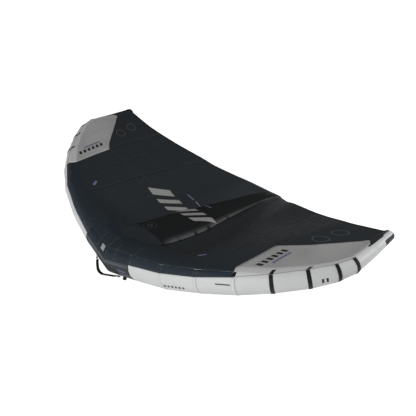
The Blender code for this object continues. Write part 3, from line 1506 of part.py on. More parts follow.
def handle_places(start, length):
    """Ends of a handle on the strut's underside and the two feet's centres."""
    inset = HANDLE_FOOT_LENGTH / 2
    front = Vector((0, start + inset, strut_bottom(start + inset)))
    rear = Vector((0, start + length - inset, strut_bottom(start + length - inset)))
    return front, rear


def make_strut_handle(word, start, length):
    """Rigid handle with moulded feet, its foam grip and its patch."""
    front, rear = handle_places(start, length)
    along = (rear - front).normalized()
    down = Vector((0, along.z, -along.y))
    side = Vector((1, 0, 0))
    base_lift = 2 * GAP + HANDLE_PATCH_CLOTH + HANDLE_FOOT_CLEARANCE
    top = base_lift + HANDLE_FOOT_HEIGHT / 2
    depth = base_lift + HANDLE_CLEARANCE + HANDLE_GRIP_RADIUS
    corners = [front + down * top, front + down * depth, rear + down * depth, rear + down * top]
    path = rounded_path(corners, HANDLE_BEND_RADIUS, 5)
    frame = loft_object(f"{word}_handle_frame", pipe_rings(path, HANDLE_TUBE_RADIUS), "carbon_tube")
    size = (HANDLE_FOOT_WIDTH, HANDLE_FOOT_LENGTH, HANDLE_FOOT_HEIGHT)
    for end, place in (("front", front), ("rear", rear)):
        foot = box_rings(place + down * base_lift, side, along, down, size)
        shape_with(frame, f"{word}_handle_foot_{end}", foot, "UNION")
    begin = front + down * depth + along * (HANDLE_BEND_RADIUS + GRIP_MARGIN)
    end = rear + down * depth - along * (HANDLE_BEND_RADIUS + GRIP_MARGIN)
    outer = cylinder_between(begin, end, HANDLE_GRIP_RADIUS)
    inner = cylinder_between(begin, end, HANDLE_TUBE_RADIUS + GAP)
    shell_object(f"{word}_handle_grip", (outer, inner), "foam", wrap=True)
    patch_start = (start - HANDLE_PATCH_MARGIN) / ROOT_CHORD_LENGTH
    patch_end = (start + length + HANDLE_PATCH_MARGIN) / ROOT_CHORD_LENGTH
    shell_object(f"{word}_handle_patch", strut_patch(patch_start, patch_end), "black_cloth")


def strut_patch(start, end):
    """Sheet on the strut's underside between two chord shares."""
    shares = [start] + [share for share in strut_shares(STRUT_TUBE_STATIONS) if start < share < end] + [end]
    sheet = ([], [])
    for share in shares:
        radius = strut_values(share)[3]
        height = strut_axis_height(share)
        for rows, lift in zip(sheet, (2 * GAP + HANDLE_PATCH_CLOTH, 2 * GAP)):
            row = []
            for c in range(-HANDLE_PATCH_SIDES, HANDLE_PATCH_SIDES + 1):
                turn = 2 * math.pi * c / STRUT_SIDES
                reach = radius + lift
                low = height - math.cos(turn) * reach
                row.append(Vector((math.sin(turn) * reach, share * ROOT_CHORD_LENGTH, low)))
            rows.append(row)
    return sheet


def make_harness_loops():
    front_y = FRONT_HANDLE_START + FRONT_HANDLE_LENGTH + FRONT_LOOP_MARGIN
    rear_y = REAR_HANDLE_START + REAR_HANDLE_LENGTH + REAR_LOOP_MARGIN
    for word, y in (("front", front_y), ("rear", rear_y)):
        foot, along, down = strut_bottom_axes(y)
        rings = loop_strap(foot + down * GAP, down, along, HARNESS_LOOP_SPAN,
                           HARNESS_LOOP_HEIGHT, HARNESS_LOOP_WIDTH, HARNESS_LOOP_CLOTH)
        loft_object(f"{word}_harness_loop", rings, "webbing")


def lay_on_ground():
    """Move the wing so the origin lies under the middle of its box."""
    bpy.context.view_layer.update()
    graph = bpy.context.evaluated_depsgraph_get()
    lows = []
    highs = []
    for piece in bpy.context.scene.objects:
        if piece.type != "MESH" or piece.hide_render:
            continue
        shown = piece.evaluated_get(graph)
        places = [shown.matrix_world @ vertex.co for vertex in shown.data.vertices]
        lows.append([min(p[axis] for p in places) for axis in range(3)])
        highs.append([max(p[axis] for p in places) for axis in range(3)])
    low = [min(row[axis] for row in lows) for axis in range(3)]
    high = [max(row[axis] for row in highs) for axis in range(3)]
    wing_origin.location = (-(low[0] + high[0]) / 2, -(low[1] + high[1]) / 2, -low[2])


sleeves = make_sleeves()
make_tip_caps()
make_bands()
tube_bladder = make_le_bladder()
make_nose_panel()
make_canopy()
make_battens(make_hems())
make_strut_panel()
sleeve_of_strut = make_strut_sleeve()
bladder_of_strut = make_strut_bladder()
make_strut_cap()
make_nose_handle()
make_leash_loop()
make_label_tag()
make_zip()
make_valve(sleeves["centre"], tube_bladder)
make_hose(sleeves["centre"], tube_bladder, sleeve_of_strut, bladder_of_strut)
make_strut_handle("front", FRONT_HANDLE_START, FRONT_HANDLE_LENGTH)
make_strut_handle("rear", REAR_HANDLE_START, REAR_HANDLE_LENGTH)
make_harness_loops()
lay_on_ground()
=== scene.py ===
"""Dressed model of the inflatable hand-held wing.

The surfaces are laid out from the nose seam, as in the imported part, and moved
to its origin when a mesh is made. Lengths are in metres, angles in degrees.
"""
import json
import math

import bmesh
import bpy
import numpy as np
from mathutils import Matrix, Vector, noise
from mathutils.bvhtree import BVHTree

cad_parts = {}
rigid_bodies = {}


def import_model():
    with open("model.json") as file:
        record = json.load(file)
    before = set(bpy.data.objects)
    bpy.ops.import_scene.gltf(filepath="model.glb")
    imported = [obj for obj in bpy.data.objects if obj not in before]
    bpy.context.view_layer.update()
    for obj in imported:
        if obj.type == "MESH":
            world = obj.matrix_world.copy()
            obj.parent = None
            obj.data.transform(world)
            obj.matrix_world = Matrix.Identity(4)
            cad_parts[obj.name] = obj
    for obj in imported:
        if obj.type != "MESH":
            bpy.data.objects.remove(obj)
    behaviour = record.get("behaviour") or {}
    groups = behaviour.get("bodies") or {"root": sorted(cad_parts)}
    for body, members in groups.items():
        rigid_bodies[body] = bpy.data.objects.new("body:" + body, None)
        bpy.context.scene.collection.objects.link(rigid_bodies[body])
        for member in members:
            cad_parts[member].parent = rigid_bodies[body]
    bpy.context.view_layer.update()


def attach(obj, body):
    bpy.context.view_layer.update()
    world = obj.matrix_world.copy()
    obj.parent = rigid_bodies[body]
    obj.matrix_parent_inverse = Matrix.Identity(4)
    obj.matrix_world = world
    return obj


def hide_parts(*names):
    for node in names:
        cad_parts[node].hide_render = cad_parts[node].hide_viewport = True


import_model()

ORIGIN = Vector((0.0, -1.0571239, 0.2284092))
SIDES = (("left", -1), ("right", 1))
scene = bpy.context.scene


# Camera

def make_camera():
    data = bpy.data.cameras.new("photo_camera")
    data.sensor_width = 36.0
    data.lens = 45.43
    data.clip_end = 60
    camera = bpy.data.objects.new("photo_camera", data)
    scene.collection.objects.link(camera)
    right = Vector((0.6675, 0.7402, 0.0811)).normalized()
    forward = Vector((-0.6357, 0.6232, -0.4555)).normalized()
    up = right.cross(forward)
    right = forward.cross(up).normalized()
    turn = Matrix((right, up.normalized(), -forward)).transposed().to_4x4()
    camera.matrix_world = Matrix.Translation((3.103, -2.98112, 2.589409)) @ turn
    scene.camera = camera


make_camera()

# Sizes of the wing

WING_HALF_WIDTH = 1.65
ROOT_CHORD_LENGTH = 2.14
WING_TIP_HEIGHT = 0.596
TUBE_RADIUS = 0.164
GAP = 0.0003
SLEEVE_CLOTH = 0.001
CANOPY_CLOTH = 0.001
CANOPY_LIFT = 0.0016
# Leading-edge tube stations from nose to tip: x, y, z and radius as shares
TUBE_STATIONS = [
    (0.000, 0.0757, -0.045, 1.000), (0.182, 0.0762, 0.089, 0.902), (0.359, 0.0963, 0.190, 0.811),
    (0.530, 0.1266, 0.334, 0.713), (0.676, 0.1762, 0.446, 0.628), (0.799, 0.2369, 0.557, 0.549),
    (0.903, 0.3089, 0.664, 0.494), (0.968, 0.3668, 0.752, 0.445), (0.999, 0.4248, 0.810, 0.390),
    (0.998, 0.5327, 0.867, 0.317), (0.993, 0.6388, 0.935, 0.238),
]
LAST_STATION = 10
TIP_CAP_STATION = 9.62
# Angles round the tube of the seam, the canopy's front edge and its take-off
SEAM_ANGLES = [9, 13, 18, 24, 37, 51, 62, 64, 67, 67, 61]
SKIN_ANGLES = [40, 43, 46, 53, 60, 51, 62, 64, 67, 67, 61]
LEAVE_ANGLES = [96, 122, 106, 94, 88, 86, 86, 86, 86, 86, 86]
ROUND_TO_SEAM = [angle + 360 for angle in SEAM_ANGLES]
# Rear edge of the canopy: station, then x, y and z as shares
REAR_EDGE = [
    (0.7, 0.0394, 0.9907, 0.0168), (1.0, 0.1212, 0.8880, 0.2270), (1.5, 0.2091, 0.8300, 0.3320),
    (2.0, 0.3030, 0.7690, 0.4530), (2.4, 0.3700, 0.7440, 0.5270), (3.0, 0.5630, 0.6990, 0.6510),
    (4.0, 0.7390, 0.6530, 0.8090), (5.0, 0.8060, 0.6470, 0.8520), (6.0, 0.8730, 0.6430, 0.9010),
    (7.0, 0.9270, 0.6410, 0.9400), (8.0, 0.9610, 0.6405, 0.9640), (9.0, 0.9770, 0.6405, 0.9920),
    (10.0, 0.9944, 0.6370, 1.0160),
]
# Rise of the canopy's middle: station and share of the root chord
CAMBER = [
    (0.7, 0.0), (1.0, -0.016), (1.5, -0.023), (2.0, -0.021), (2.4, -0.014), (3.0, 0.0), (3.3, 0.004),
    (4.0, 0.007), (5.0, 0.005), (6.0, 0.003), (7.0, 0.001), (8.0, 0.0025), (8.8, 0.0035),
    (9.0, 0.0038), (10.0, 0.0032),
]
# Rear border of the grey tip patch: station and chord share
PATCH_BORDER = [(4.0, 0.38), (5.0, 0.46), (6.0, 0.536), (7.0, 0.59), (8.0, 0.56), (8.8, 0.16)]
# Strut: chord share, half width of its top panel, edge height, crown height, radius
STRUT = [
    (0.201, 0.1273, 0.126, 0.198, 0.720), (0.280, 0.1291, 0.104, 0.188, 0.732),
    (0.421, 0.1261, 0.097, 0.178, 0.720), (0.561, 0.0970, 0.097, 0.168, 0.640),
    (0.701, 0.0739, 0.097, 0.148, 0.518), (0.864, 0.0497, 0.094, 0.121, 0.366),
    (0.949, 0.0412, 0.059, 0.076, 0.244), (0.991, 0.0394, 0.017, 0.023, 0.000),
]
STRUT_START, STRUT_CAP_START, STRUT_END = 0.201, 0.949, 0.991
# Stations where the main canopy begins, where the strut stops shaping it and where the grey patch ends
INNER_STATION, STRUT_REACH_STATION, PATCH_END = 0.7, 3.0, 8.8
# Chord share of the seam across the inner panel
FORWARD_SEAM = 0.448
HEM_WIDTH, LEAST_TAPE_WIDTH = 0.014, 0.010
# Start of the dark cap on the tip, as station and angle
TIP_PATCH_START, TIP_PATCH_ANGLE = 9.5, 36
# Direction of 90 degrees round the tube, before it is squared to the tube's run
TUBE_UP = Vector((-0.25, 0, 1))
# Distances from a sewn joint at which the sleeve has rows of points
JOINT_ROWS = (0, 0.004, 0.008, 0.013, 0.020, 0.030, 0.045, 0.065, 0.09)
INNER_SHIFT_STEPS = 200


def table_at(table, key):
    """Read a table of (key, values...) on a smooth curve through its rows."""
    keys = [row[0] for row in table]
    key = min(max(key, keys[0]), keys[-1])
    i = min(max(j for j in range(len(keys) - 1) if keys[j] <= key or j == 0), len(keys) - 2)
    span = keys[i + 1] - keys[i]
    t = (key - keys[i]) / span

    def slope(j, column):
        low, high = max(j - 1, 0), min(j + 1, len(keys) - 1)
        return (table[high][column] - table[low][column]) / (keys[high] - keys[low])

    values = []
    for column in range(1, len(table[0])):
        bend = (t ** 3 - 2 * t ** 2 + t) * slope(i, column) + (t ** 3 - t ** 2) * slope(i + 1, column)
        start, end = table[i][column], table[i + 1][column]
        values.append((2 * t ** 3 - 3 * t ** 2 + 1) * start + (3 * t ** 2 - 2 * t ** 3) * end + span * bend)
    return values


def straight_at(table, key):
    """Read a two-column table along straight lines."""
    return float(np.interp(key, [row[0] for row in table], [row[1] for row in table]))


def spread(start, end, pitch, least=2):
    """Evenly spaced values from start to end, no further apart than the pitch."""
    return list(np.linspace(start, end, max(least, math.ceil(abs(end - start) / pitch) + 1)))


def bell(away, reach):
    """Smooth bump: 1 at no distance, close to 0 beyond twice the reach."""
    return math.exp(-(away / reach) ** 2)


def side_of(s):
    return -1 if s < 0 else 1


def heading(path, k):
    """Run of a path at one of its places."""
    return path[min(k + 1, len(path) - 1)] - path[max(k - 1, 0)]


# Leading-edge tube surface

def tube_centre(i):
    x, y, z, _ = TUBE_STATIONS[i]
    return Vector((x * WING_HALF_WIDTH, y * ROOT_CHORD_LENGTH, z * WING_TIP_HEIGHT))


def tube_direction(i):
    return (tube_centre(i + 1) - tube_centre(i)).normalized()


def tube_frame(i):
    """Mitre plane of a station: front, up, bend direction and stretch."""
    ahead = tube_direction(min(i, LAST_STATION - 1))
    behind = tube_direction(i - 1) if i > 0 else Vector((ahead.x, -ahead.y, -ahead.z))
    along = (ahead + behind).normalized()
    up = (TUBE_UP - along * TUBE_UP.dot(along)).normalized()
    bend = ahead - behind
    if bend.length:
        bend.normalize()
    return along.cross(up), up, bend, 1 / ahead.dot(along)


TUBE_FRAMES = [tube_frame(i) for i in range(LAST_STATION + 1)]
SEGMENT_LENGTHS = [(tube_centre(i + 1) - tube_centre(i)).length for i in range(LAST_STATION)]


def ring_point(i, angle, lift):
    front, up, bend, stretch = TUBE_FRAMES[i]
    turn = math.radians(angle)
    arm = (front * math.cos(turn) + up * math.sin(turn)) * (TUBE_STATIONS[i][3] * TUBE_RADIUS + lift)
    arm += bend * arm.dot(bend) * (stretch - 1)
    return tube_centre(i) + arm


def segment_of(s):
    i = min(int(abs(s)), LAST_STATION - 1)
    return side_of(s), i, abs(s) - i


def mirrored(point, side):
    return Vector((point.x * side, point.y, point.z))


def between_rings(s, near_angle, far_angle, lift):
    side, i, f = segment_of(s)
    return mirrored(ring_point(i, near_angle, lift).lerp(ring_point(i + 1, far_angle, lift), f), side)


def on_tube(s, angle, lift=0.0):
    return between_rings(s, angle, angle, lift)


def angles_between(i, first, second, t):
    """Angles at both ends of a segment, a share t of the way from one border to another."""
    return [first[j] + (second[j] - first[j]) * t for j in (i, i + 1)]


def skin_point(s, t):
    """Place on the tube between the canopy's front edge (t 0) and its take-off (t 1)."""
    _, i, _ = segment_of(s)
    near, far = angles_between(i, SKIN_ANGLES, LEAVE_ANGLES, t)
    return between_rings(s, near, far, CANOPY_LIFT)


def joint_dip(s, angle):
    """How far the sleeve draws in at a sewn joint, with its small puckers."""
    station = round(abs(s))
    if not 1 <= station <= 9:
        return 0.0
    away = abs(abs(s) - station) * SEGMENT_LENGTHS[min(station, LAST_STATION - 1)]
    lobes = 0.5 + 0.5 * math.sin(math.radians(angle * (19 + station % 3)) + station)
    return 0.0016 * bell(away, 0.011) + 0.0024 * lobes * bell(away, 0.04)


def tube_row(s, start_table, end_table, count, lift):
    """Points round the tube between two borders, drawn in at the joints."""
    _, i, _ = segment_of(s)
    row = []
    for k in range(count + 1):
        t = k / count
        near, far = angles_between(i, start_table, end_table, t)
        angle = near + (far - near) * (abs(s) - i)
        row.append(between_rings(s, near, far, lift - joint_dip(s, angle)))
    return row


def closed_ring(s, sides, lift=0.0):
    """Points all the way round the tube, from the seam."""
    return tube_row(s, SEAM_ANGLES, ROUND_TO_SEAM, sides, lift)[:-1]


def tube_stations(start, end):
    """Stations along the tube, closer together beside the sewn joints."""
    places = set()
    for i in range(int(start), math.ceil(end)):
        length = SEGMENT_LENGTHS[i]
        for away in JOINT_ROWS:
            if away < length / 2:
                places.update((round(i + away / length, 5), round(i + 1 - away / length, 5)))
        places.update(np.round(np.linspace(i, i + 1, max(4, int(length / 0.03))), 5))
    places.add(TIP_PATCH_START)
    inside = sorted(p for p in places if start < p < end)
    kept = [start]
    for place in inside:
        if (place - kept[-1]) * SEGMENT_LENGTHS[int(kept[-1])] > 0.0025:
            kept.append(float(place))
    if len(kept) > 1 and end - kept[-1] < 0.004:
        kept.pop()
    return kept + [end]


# Canopy surface: heights of its broad and fine waves and of the hollows beside the joints

BROAD_WAVE, FINE_WAVE, JOINT_HOLLOW = 0.0048, 0.0020, 0.0022


def rear_edge(s):
    x, y, z = table_at(REAR_EDGE, abs(s))
    return Vector((x * WING_HALF_WIDTH, y * ROOT_CHORD_LENGTH, z * WING_TIP_HEIGHT))


def front_edge(s):
    return skin_point(abs(s), 1)


def strut_values(share):
    half, edge, crown, radius = table_at(STRUT, share)
    return half * WING_HALF_WIDTH, edge * WING_TIP_HEIGHT, crown * WING_TIP_HEIGHT, radius * TUBE_RADIUS


def strut_top_point(across, share):
    half, edge, crown, _ = strut_values(share)
    swell = 1 - 0.12 * across ** 2 - 0.88 * abs(across) ** 5
    return Vector((across * half, share * ROOT_CHORD_LENGTH, edge + (crown - edge) * swell))


INNER_FRONT = front_edge(INNER_STATION)
INNER_REAR = rear_edge(INNER_STATION)


def inner_edge(v):
    """Line where the main canopy meets the nose panel and the strut panel."""
    front = strut_top_point(1, STRUT_START)
    y = INNER_FRONT.y + (STRUT_END * ROOT_CHORD_LENGTH - INNER_FRONT.y) * v
    if y < front.y:
        return INNER_FRONT.lerp(front, (y - INNER_FRONT.y) / (front.y - INNER_FRONT.y))
    return strut_top_point(1, y / ROOT_CHORD_LENGTH)


INNER_SHIFTS = [inner_edge(v) - INNER_FRONT.lerp(INNER_REAR, v)
                for v in (k / INNER_SHIFT_STEPS for k in range(INNER_SHIFT_STEPS + 1))]


def inner_shift(v):
    """How far the inner border lies from the straight line between its ends."""
    place = min(max(v, 0.0), 1.0) * INNER_SHIFT_STEPS
    k = min(int(place), INNER_SHIFT_STEPS - 1)
    return INNER_SHIFTS[k].lerp(INNER_SHIFTS[k + 1], place - k)


def chord_at(s):
    return (rear_edge(s) - front_edge(s)).length


def soft_waves(point, s, v, side):
    """Slight slackness of the stretched cloth, away from what holds it."""
    held = min(1.0, v * 7) * min(1.0, (abs(s) - INNER_STATION) * 2.5)
    broad = noise.noise(Vector((point.x * side * 2.6 + 4, point.y * 1.9, side * 3.0)))
    fine = noise.noise(Vector((point.x * 7.5, point.y * 3.5, 8 + side)))
    ribs = math.sin(abs(s) * 2 * math.pi) ** 2 * bell(v, 0.16) * min(1.0, v * 14)
    edge = 0.4 + 0.6 * min(1.0, (1 - v) * 8)
    return held * edge * (BROAD_WAVE * broad + FINE_WAVE * fine) - JOINT_HOLLOW * ribs


def canopy_at(s, v):
    """Upper face of the canopy from its take-off (v 0) to the rear edge (v 1)."""
    side = side_of(s)
    s = abs(s)
    point = front_edge(s).lerp(rear_edge(s), v)
    point.z += table_at(CAMBER, s)[0] * ROOT_CHORD_LENGTH * math.sin(math.pi * v)
    t = min((s - INNER_STATION) / (STRUT_REACH_STATION - INNER_STATION), 1)
    point += inner_shift(v) * ((1 - t) ** 2 * (1 + 2 * t))
    point.z += soft_waves(point, s, v, side)
    return mirrored(point, side)


def canopy_normal(s, v):
    ahead = math.copysign(min(abs(s) + 0.02, LAST_STATION), s)
    behind = math.copysign(max(abs(s) - 0.02, INNER_STATION), s)
    rear, front = min(v + 0.01, 1), max(v - 0.01, 0)
    along = canopy_at(ahead, v) - canopy_at(behind, v)
    aft = canopy_at(s, rear) - canopy_at(s, front)
    normal = along.cross(aft).normalized()
    return normal if normal.z > 0 else -normal


def eased(points, centre, reach):
    """Round off the run of a row of points over one place, over a reach."""
    row = np.array(points)
    steps = np.linalg.norm(np.diff(row, axis=0), axis=1)
    along = np.concatenate([[0], np.cumsum(steps)])
    along -= along[centre]
    out = row.copy()
    for k, place in enumerate(along):
        width = reach * bell(place, 1.6 * reach)
        if width < 0.1 * reach:
            continue
        weights = np.exp(-((along - place) / width) ** 2)
        weights[1:-1] *= (steps[1:] + steps[:-1]) / 2
        weights[0] *= steps[0] / 2
        weights[-1] *= steps[-1] / 2
        out[k] = (row * weights[:, None]).sum(0) / weights.sum()
    return out


# Sewn borders of the canopy's panels, as (chord share, station)
INNER_SEAM = [(0.0, 2.40), (0.33, 2.50), (0.50, 2.50), (0.69, 2.45), (0.89, 2.38), (1.0, 2.30)]
OUTER_SEAM = [(0.0, 3.22), (0.19, 3.15), (0.40, 3.08), (1.0, 3.02)]
TIP_SEAM = [(0.0, 4.0), (0.20, 3.94), (0.40, 3.85), (0.60, 3.83), (0.83, 3.71), (1.0, 3.62)]


# Meshes

def use_only(piece):
    for other in bpy.context.view_layer.objects.selected:
        other.select_set(False)
    piece.select_set(True)
    bpy.context.view_layer.objects.active = piece


def apply_modifier(piece, kind, **settings):
    modifier = piece.modifiers.new(kind.lower(), kind)
    for name, value in settings.items():
        setattr(modifier, name, value)
    use_only(piece)
    bpy.ops.object.modifier_apply(modifier=modifier.name)


def mesh_piece(name, points, faces, material, body="wing"):
    mesh = bpy.data.meshes.new(name)
    mesh.from_pydata([tuple(p) for p in points], [], faces)
    mesh.transform(Matrix.Translation(ORIGIN))
    mesh.shade_smooth()
    piece = bpy.data.objects.new(name, mesh)
    scene.collection.objects.link(piece)
    mesh.materials.append(material)
    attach(piece, body)
    return piece


def grid_piece(name, rows, material, wrap=False, core=None, thickness=SLEEVE_CLOTH, body="wing", over=None):
    """Sheet over a grid of points, laid out in metres in its UV map, with its wall
    turned towards the core point."""
    grid = np.array([[tuple(p) for p in row] for row in rows])
    height, width = grid.shape[:2]
    index = np.arange(height * width).reshape(height, width)
    if wrap:
        index = np.concatenate([index, index[:, :1]], axis=1)
        laid = np.concatenate([grid, grid[:, :1]], axis=1)
    else:
        laid = grid
    faces = np.stack([index[:-1, :-1], index[1:, :-1], index[1:, 1:], index[:-1, 1:]], axis=-1).reshape(-1, 4)
    across = np.cumsum(np.pad(np.linalg.norm(np.diff(laid, axis=1), axis=2), ((0, 0), (1, 0))), axis=1)
    along = np.cumsum(np.pad(np.linalg.norm(np.diff(laid, axis=0), axis=2), ((1, 0), (0, 0))), axis=0)
    flat = np.stack([across, along], axis=-1)
    uv = np.stack([flat[:-1, :-1], flat[1:, :-1], flat[1:, 1:], flat[:-1, 1:]], axis=2).reshape(-1, 4, 2)
    shift = len(faces) // (2 * max(1, height - 1)) if wrap else 0
    corners = grid.reshape(-1, 3)[faces[len(faces) // 2 + shift]]
    normal = np.cross(corners[2] - corners[0], corners[3] - corners[1])
    core = np.array(core if core is not None else corners.mean(0) - np.array((0, 0, 1)))
    if np.dot(normal, corners.mean(0) - core) < 0:
        faces, uv = faces[:, ::-1], uv[:, ::-1]
    piece = mesh_piece(name, grid.reshape(-1, 3), faces.tolist(), material, body)
    layer = piece.data.uv_layers.new(name="cloth")
    layer.data.foreach_set("uv", uv.reshape(-1).astype(np.float32))
    # Share of each point's over_colour, a painted tone: painted shade of the tube under the canopy cloth, a
    # painted highlight on the strut panel's flanks, a lighter tone on the grey patch over the tube.
    if over is not None:
        shade = piece.data.attributes.new("over_tube", "FLOAT", "POINT")
        shade.data.foreach_set("value", np.array(over, np.float32).reshape(-1))
    if thickness:
        apply_modifier(piece, "SOLIDIFY", thickness=thickness, offset=-1.0)
    return piece


def flat_size(piece):
    """Width and length of the cloth before it is stretched."""
    layer = piece.data.uv_layers[0]
    uv = np.zeros(len(layer.data) * 2, np.float32)
    layer.data.foreach_get("uv", uv)
    width, length = np.ptp(uv.reshape(-1, 2), axis=0)
    return float(width), float(length)


def cloth_area(piece):
    """Area of one face of a sheet that has a thickness."""
    return sum(polygon.area for polygon in piece.data.polygons) / 2


def stands_for(node):
    """Hide the imported node that a piece replaces."""
    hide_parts(node)


def stretched_sheet(piece):
    """Measure a stretched sheet's flat layout and hand the piece back; the measured size is not kept."""
    area = cloth_area(piece)
    width, length = flat_size(piece)
    if area < 0.35 * width * length:
        width = 2 * area / length
    return piece


def tape_sheet(width):
    """Clamp a tape's width to the least tape width; nothing is done with it."""
    width = max(LEAST_TAPE_WIDTH, width)


# Finishes

def wire_up(material, kind, inputs=(), **settings):
    """Add a node, set its settings, and link or fill its inputs."""
    node = material.node_tree.nodes.new(kind)
    for name, value in settings.items():
        setattr(node, name, value)
    for key, value in dict(inputs).items():
        if isinstance(value, bpy.types.NodeSocket):
            material.node_tree.links.new(value, node.inputs[key])
        else:
            node.inputs[key].default_value = value
    return node


def maths(material, operation, *values, clamp=False):
    node = wire_up(material, "ShaderNodeMath", enumerate(values), operation=operation, use_clamp=clamp)
    return node.outputs[0]


def blended(material, share, first, second):
    node = wire_up(material, "ShaderNodeMix", {0: share, 6: first, 7: second}, data_type="RGBA")
    return node.outputs[2]


def grey(value):
    return (value, value, value, 1.0)


def threads(material, coordinate, pitch, width):
    """Thin lines at an even pitch along one coordinate."""
    away = maths(material, "PINGPONG", coordinate, pitch / 2)
    return wire_up(material, "ShaderNodeMapRange", {0: away, 1: 0.0, 2: width, 3: 1.0, 4: 0.0},
                   interpolation_type="SMOOTHSTEP").outputs[0]


def new_finish(name, roughness, coat=0.0, level=0.5):
    material = bpy.data.materials.new(name)
    material.use_nodes = True
    shader = material.node_tree.nodes["Principled BSDF"]
    shader.inputs["Roughness"].default_value = roughness
    shader.inputs["Coat Weight"].default_value = coat
    shader.inputs["Specular IOR Level"].default_value = level
    return material, shader


def link(material, output, socket):
    material.node_tree.links.new(output, socket)


def toned(colour, factor):
    """Colour made darker or lighter by a factor."""
    return tuple(min(1.0, c * factor) for c in colour) + (1.0,)


def mottle(material, place, scale, detail=3.0, distortion=0.0):
    """Cloudy shares between 0 and 1 over the object."""
    clouds = wire_up(material, "ShaderNodeTexNoise", {"Vector": place.outputs["Object"], "Scale": scale,
                                                      "Detail": detail, "Distortion": distortion})
    return clouds.outputs[0]


def vary_roughness(material, shader, share, roughness, swing):
    rough = wire_up(material, "ShaderNodeMapRange", {0: share, 3: roughness - swing, 4: roughness + swing})
    link(material, rough.outputs[0], shader.inputs["Roughness"])


def bumped(material, height, strength, distance, under=None):
    """Surface direction over a height, on top of another one if given."""
    inputs = {"Height": height, "Strength": strength, "Distance": distance}
    if under is not None:
        inputs["Normal"] = under
    return wire_up(material, "ShaderNodeBump", inputs).outputs[0]


def cloth_finish(name, colour, roughness, thread, wear_and_flank_highlight, rib=0.0, rib_light=0.0, crinkle=0.0,
                 over_colour=None, level=0.4):
    """Woven cloth: threads, stronger ribs, soft crinkles and uneven dye."""
    material, shader = new_finish(name, roughness, level=level)
    place = wire_up(material, "ShaderNodeTexCoord")
    axes = wire_up(material, "ShaderNodeSeparateXYZ", {0: place.outputs["UV"]})
    across, along = axes.outputs[0], axes.outputs[1]
    weave = maths(material, "MULTIPLY", threads(material, across, thread, thread * 0.5),
                  threads(material, along, thread, thread * 0.5))
    height = maths(material, "MULTIPLY", weave, 0.25)
    shade = mottle(material, place, 2.3)
    fleck = mottle(material, place, 60.0, detail=2.0)
    uneven = maths(material, "ADD", maths(material, "MULTIPLY", shade, 0.75),
                   maths(material, "MULTIPLY", fleck, 0.25))
    dye = blended(material, uneven, toned(colour, 1 - wear_and_flank_highlight), toned(colour, 1 + wear_and_flank_highlight))
    if rib:
        ribs = maths(material, "MAXIMUM", threads(material, across, rib, RIB_LINE),
                     threads(material, along, rib, RIB_LINE))
        height = maths(material, "ADD", height, maths(material, "MULTIPLY", ribs, 0.6))
        dye = blended(material, maths(material, "MULTIPLY", ribs, 0.8), dye, toned(colour, 1 + rib_light))
    # Painted tone where over_tube is set: painted shade of the tube under the canopy, painted highlight on the
    # strut panel's flanks, lighter grey patch over the tube.
    if over_colour:
        over = wire_up(material, "ShaderNodeAttribute", attribute_name="over_tube")
        dye = blended(material, over.outputs["Fac"], dye, over_colour + (1.0,))
    link(material, dye, shader.inputs["Base Color"])
    vary_roughness(material, shader, shade, roughness, 0.06)
    normal = bumped(material, height, 0.35, 0.0004)
    if crinkle:
        waves = mottle(material, place, 9.0, distortion=0.6)
        normal = bumped(material, waves, crinkle, 0.012, under=normal)
    link(material, normal, shader.inputs["Normal"])
    return material


RIB_LINE = 0.0006
WHITE_DACRON = cloth_finish("white_dacron", (0.70, 0.705, 0.71), 0.48, 0.0009, rib=0.006, rib_light=0.05,
                            crinkle=0.18, wear_and_flank_highlight=0.025)
NAVY_DACRON = cloth_finish("navy_dacron", (0.0205, 0.0295, 0.0415), 0.50, 0.0009, rib=0.006, rib_light=0.35,
                           crinkle=0.18, wear_and_flank_highlight=0.10, level=0.2)
# Darker copy of the navy dacron for the nose sleeve, which faces the key light: painted shade.
SHADED_NOSE_DACRON = cloth_finish("nose_navy_dacron_shaded", (0.0125, 0.0195, 0.0290), 0.52, 0.0009, rib=0.006,
                           rib_light=0.35, crinkle=0.2, wear_and_flank_highlight=0.12, level=0.16)
# Over the tube the canopy cloth takes a bluer over_colour: painted shade where the tube keeps light from
# showing through the thin cloth.
CANOPY_CLOTH_FINISH = cloth_finish("canopy_ripstop", (0.0228, 0.0272, 0.0308), 0.60, 0.0007, rib=0.005,
                                   rib_light=0.5, crinkle=0.22, wear_and_flank_highlight=0.12, over_colour=(0.0200, 0.0275, 0.0350),
                                   level=0.11)
GREY_CLOTH = cloth_finish("grey_insignia_cloth", (0.385, 0.385, 0.382), 0.58, 0.0008, rib=0.006, rib_light=0.12,
                          crinkle=0.45, wear_and_flank_highlight=0.55, over_colour=(0.58, 0.58, 0.58), level=0.2)
# The strut panel's flanks take the lighter over_colour below: a painted highlight.
STRUT_CLOTH = cloth_finish("strut_panel_cloth", (0.0090, 0.0098, 0.0106), 0.58, 0.0009, rib=0.006,
                           rib_light=0.4, crinkle=0.2, wear_and_flank_highlight=0.12, over_colour=(0.105, 0.106, 0.109), level=0.12)
BLACK_CLOTH = cloth_finish("black_cloth", (0.0085, 0.0085, 0.0093), 0.6, 0.0010, wear_and_flank_highlight=0.15, level=0.2)
SEAM_TAPE = cloth_finish("seam_tape", (0.037, 0.041, 0.044), 0.55, 0.0012, wear_and_flank_highlight=0.10, level=0.15)
PALE_TAPE = cloth_finish("pale_seam_tape", (0.72, 0.725, 0.73), 0.42, 0.0012, wear_and_flank_highlight=0.02)
BLADDER_FILM = cloth_finish("bladder_film", (0.60, 0.62, 0.62), 0.25, 0.004, wear_and_flank_highlight=0.04, crinkle=0.3)


# Leading-edge sleeves: how many faces go round each, and the height of the tip's dome

NOSE_SIDES, STRIP_SIDES, FRONT_SIDES, OUTER_SIDES, CAP_SIDES = 112, 10, 104, 96, 64
TIP_DOME = 0.034


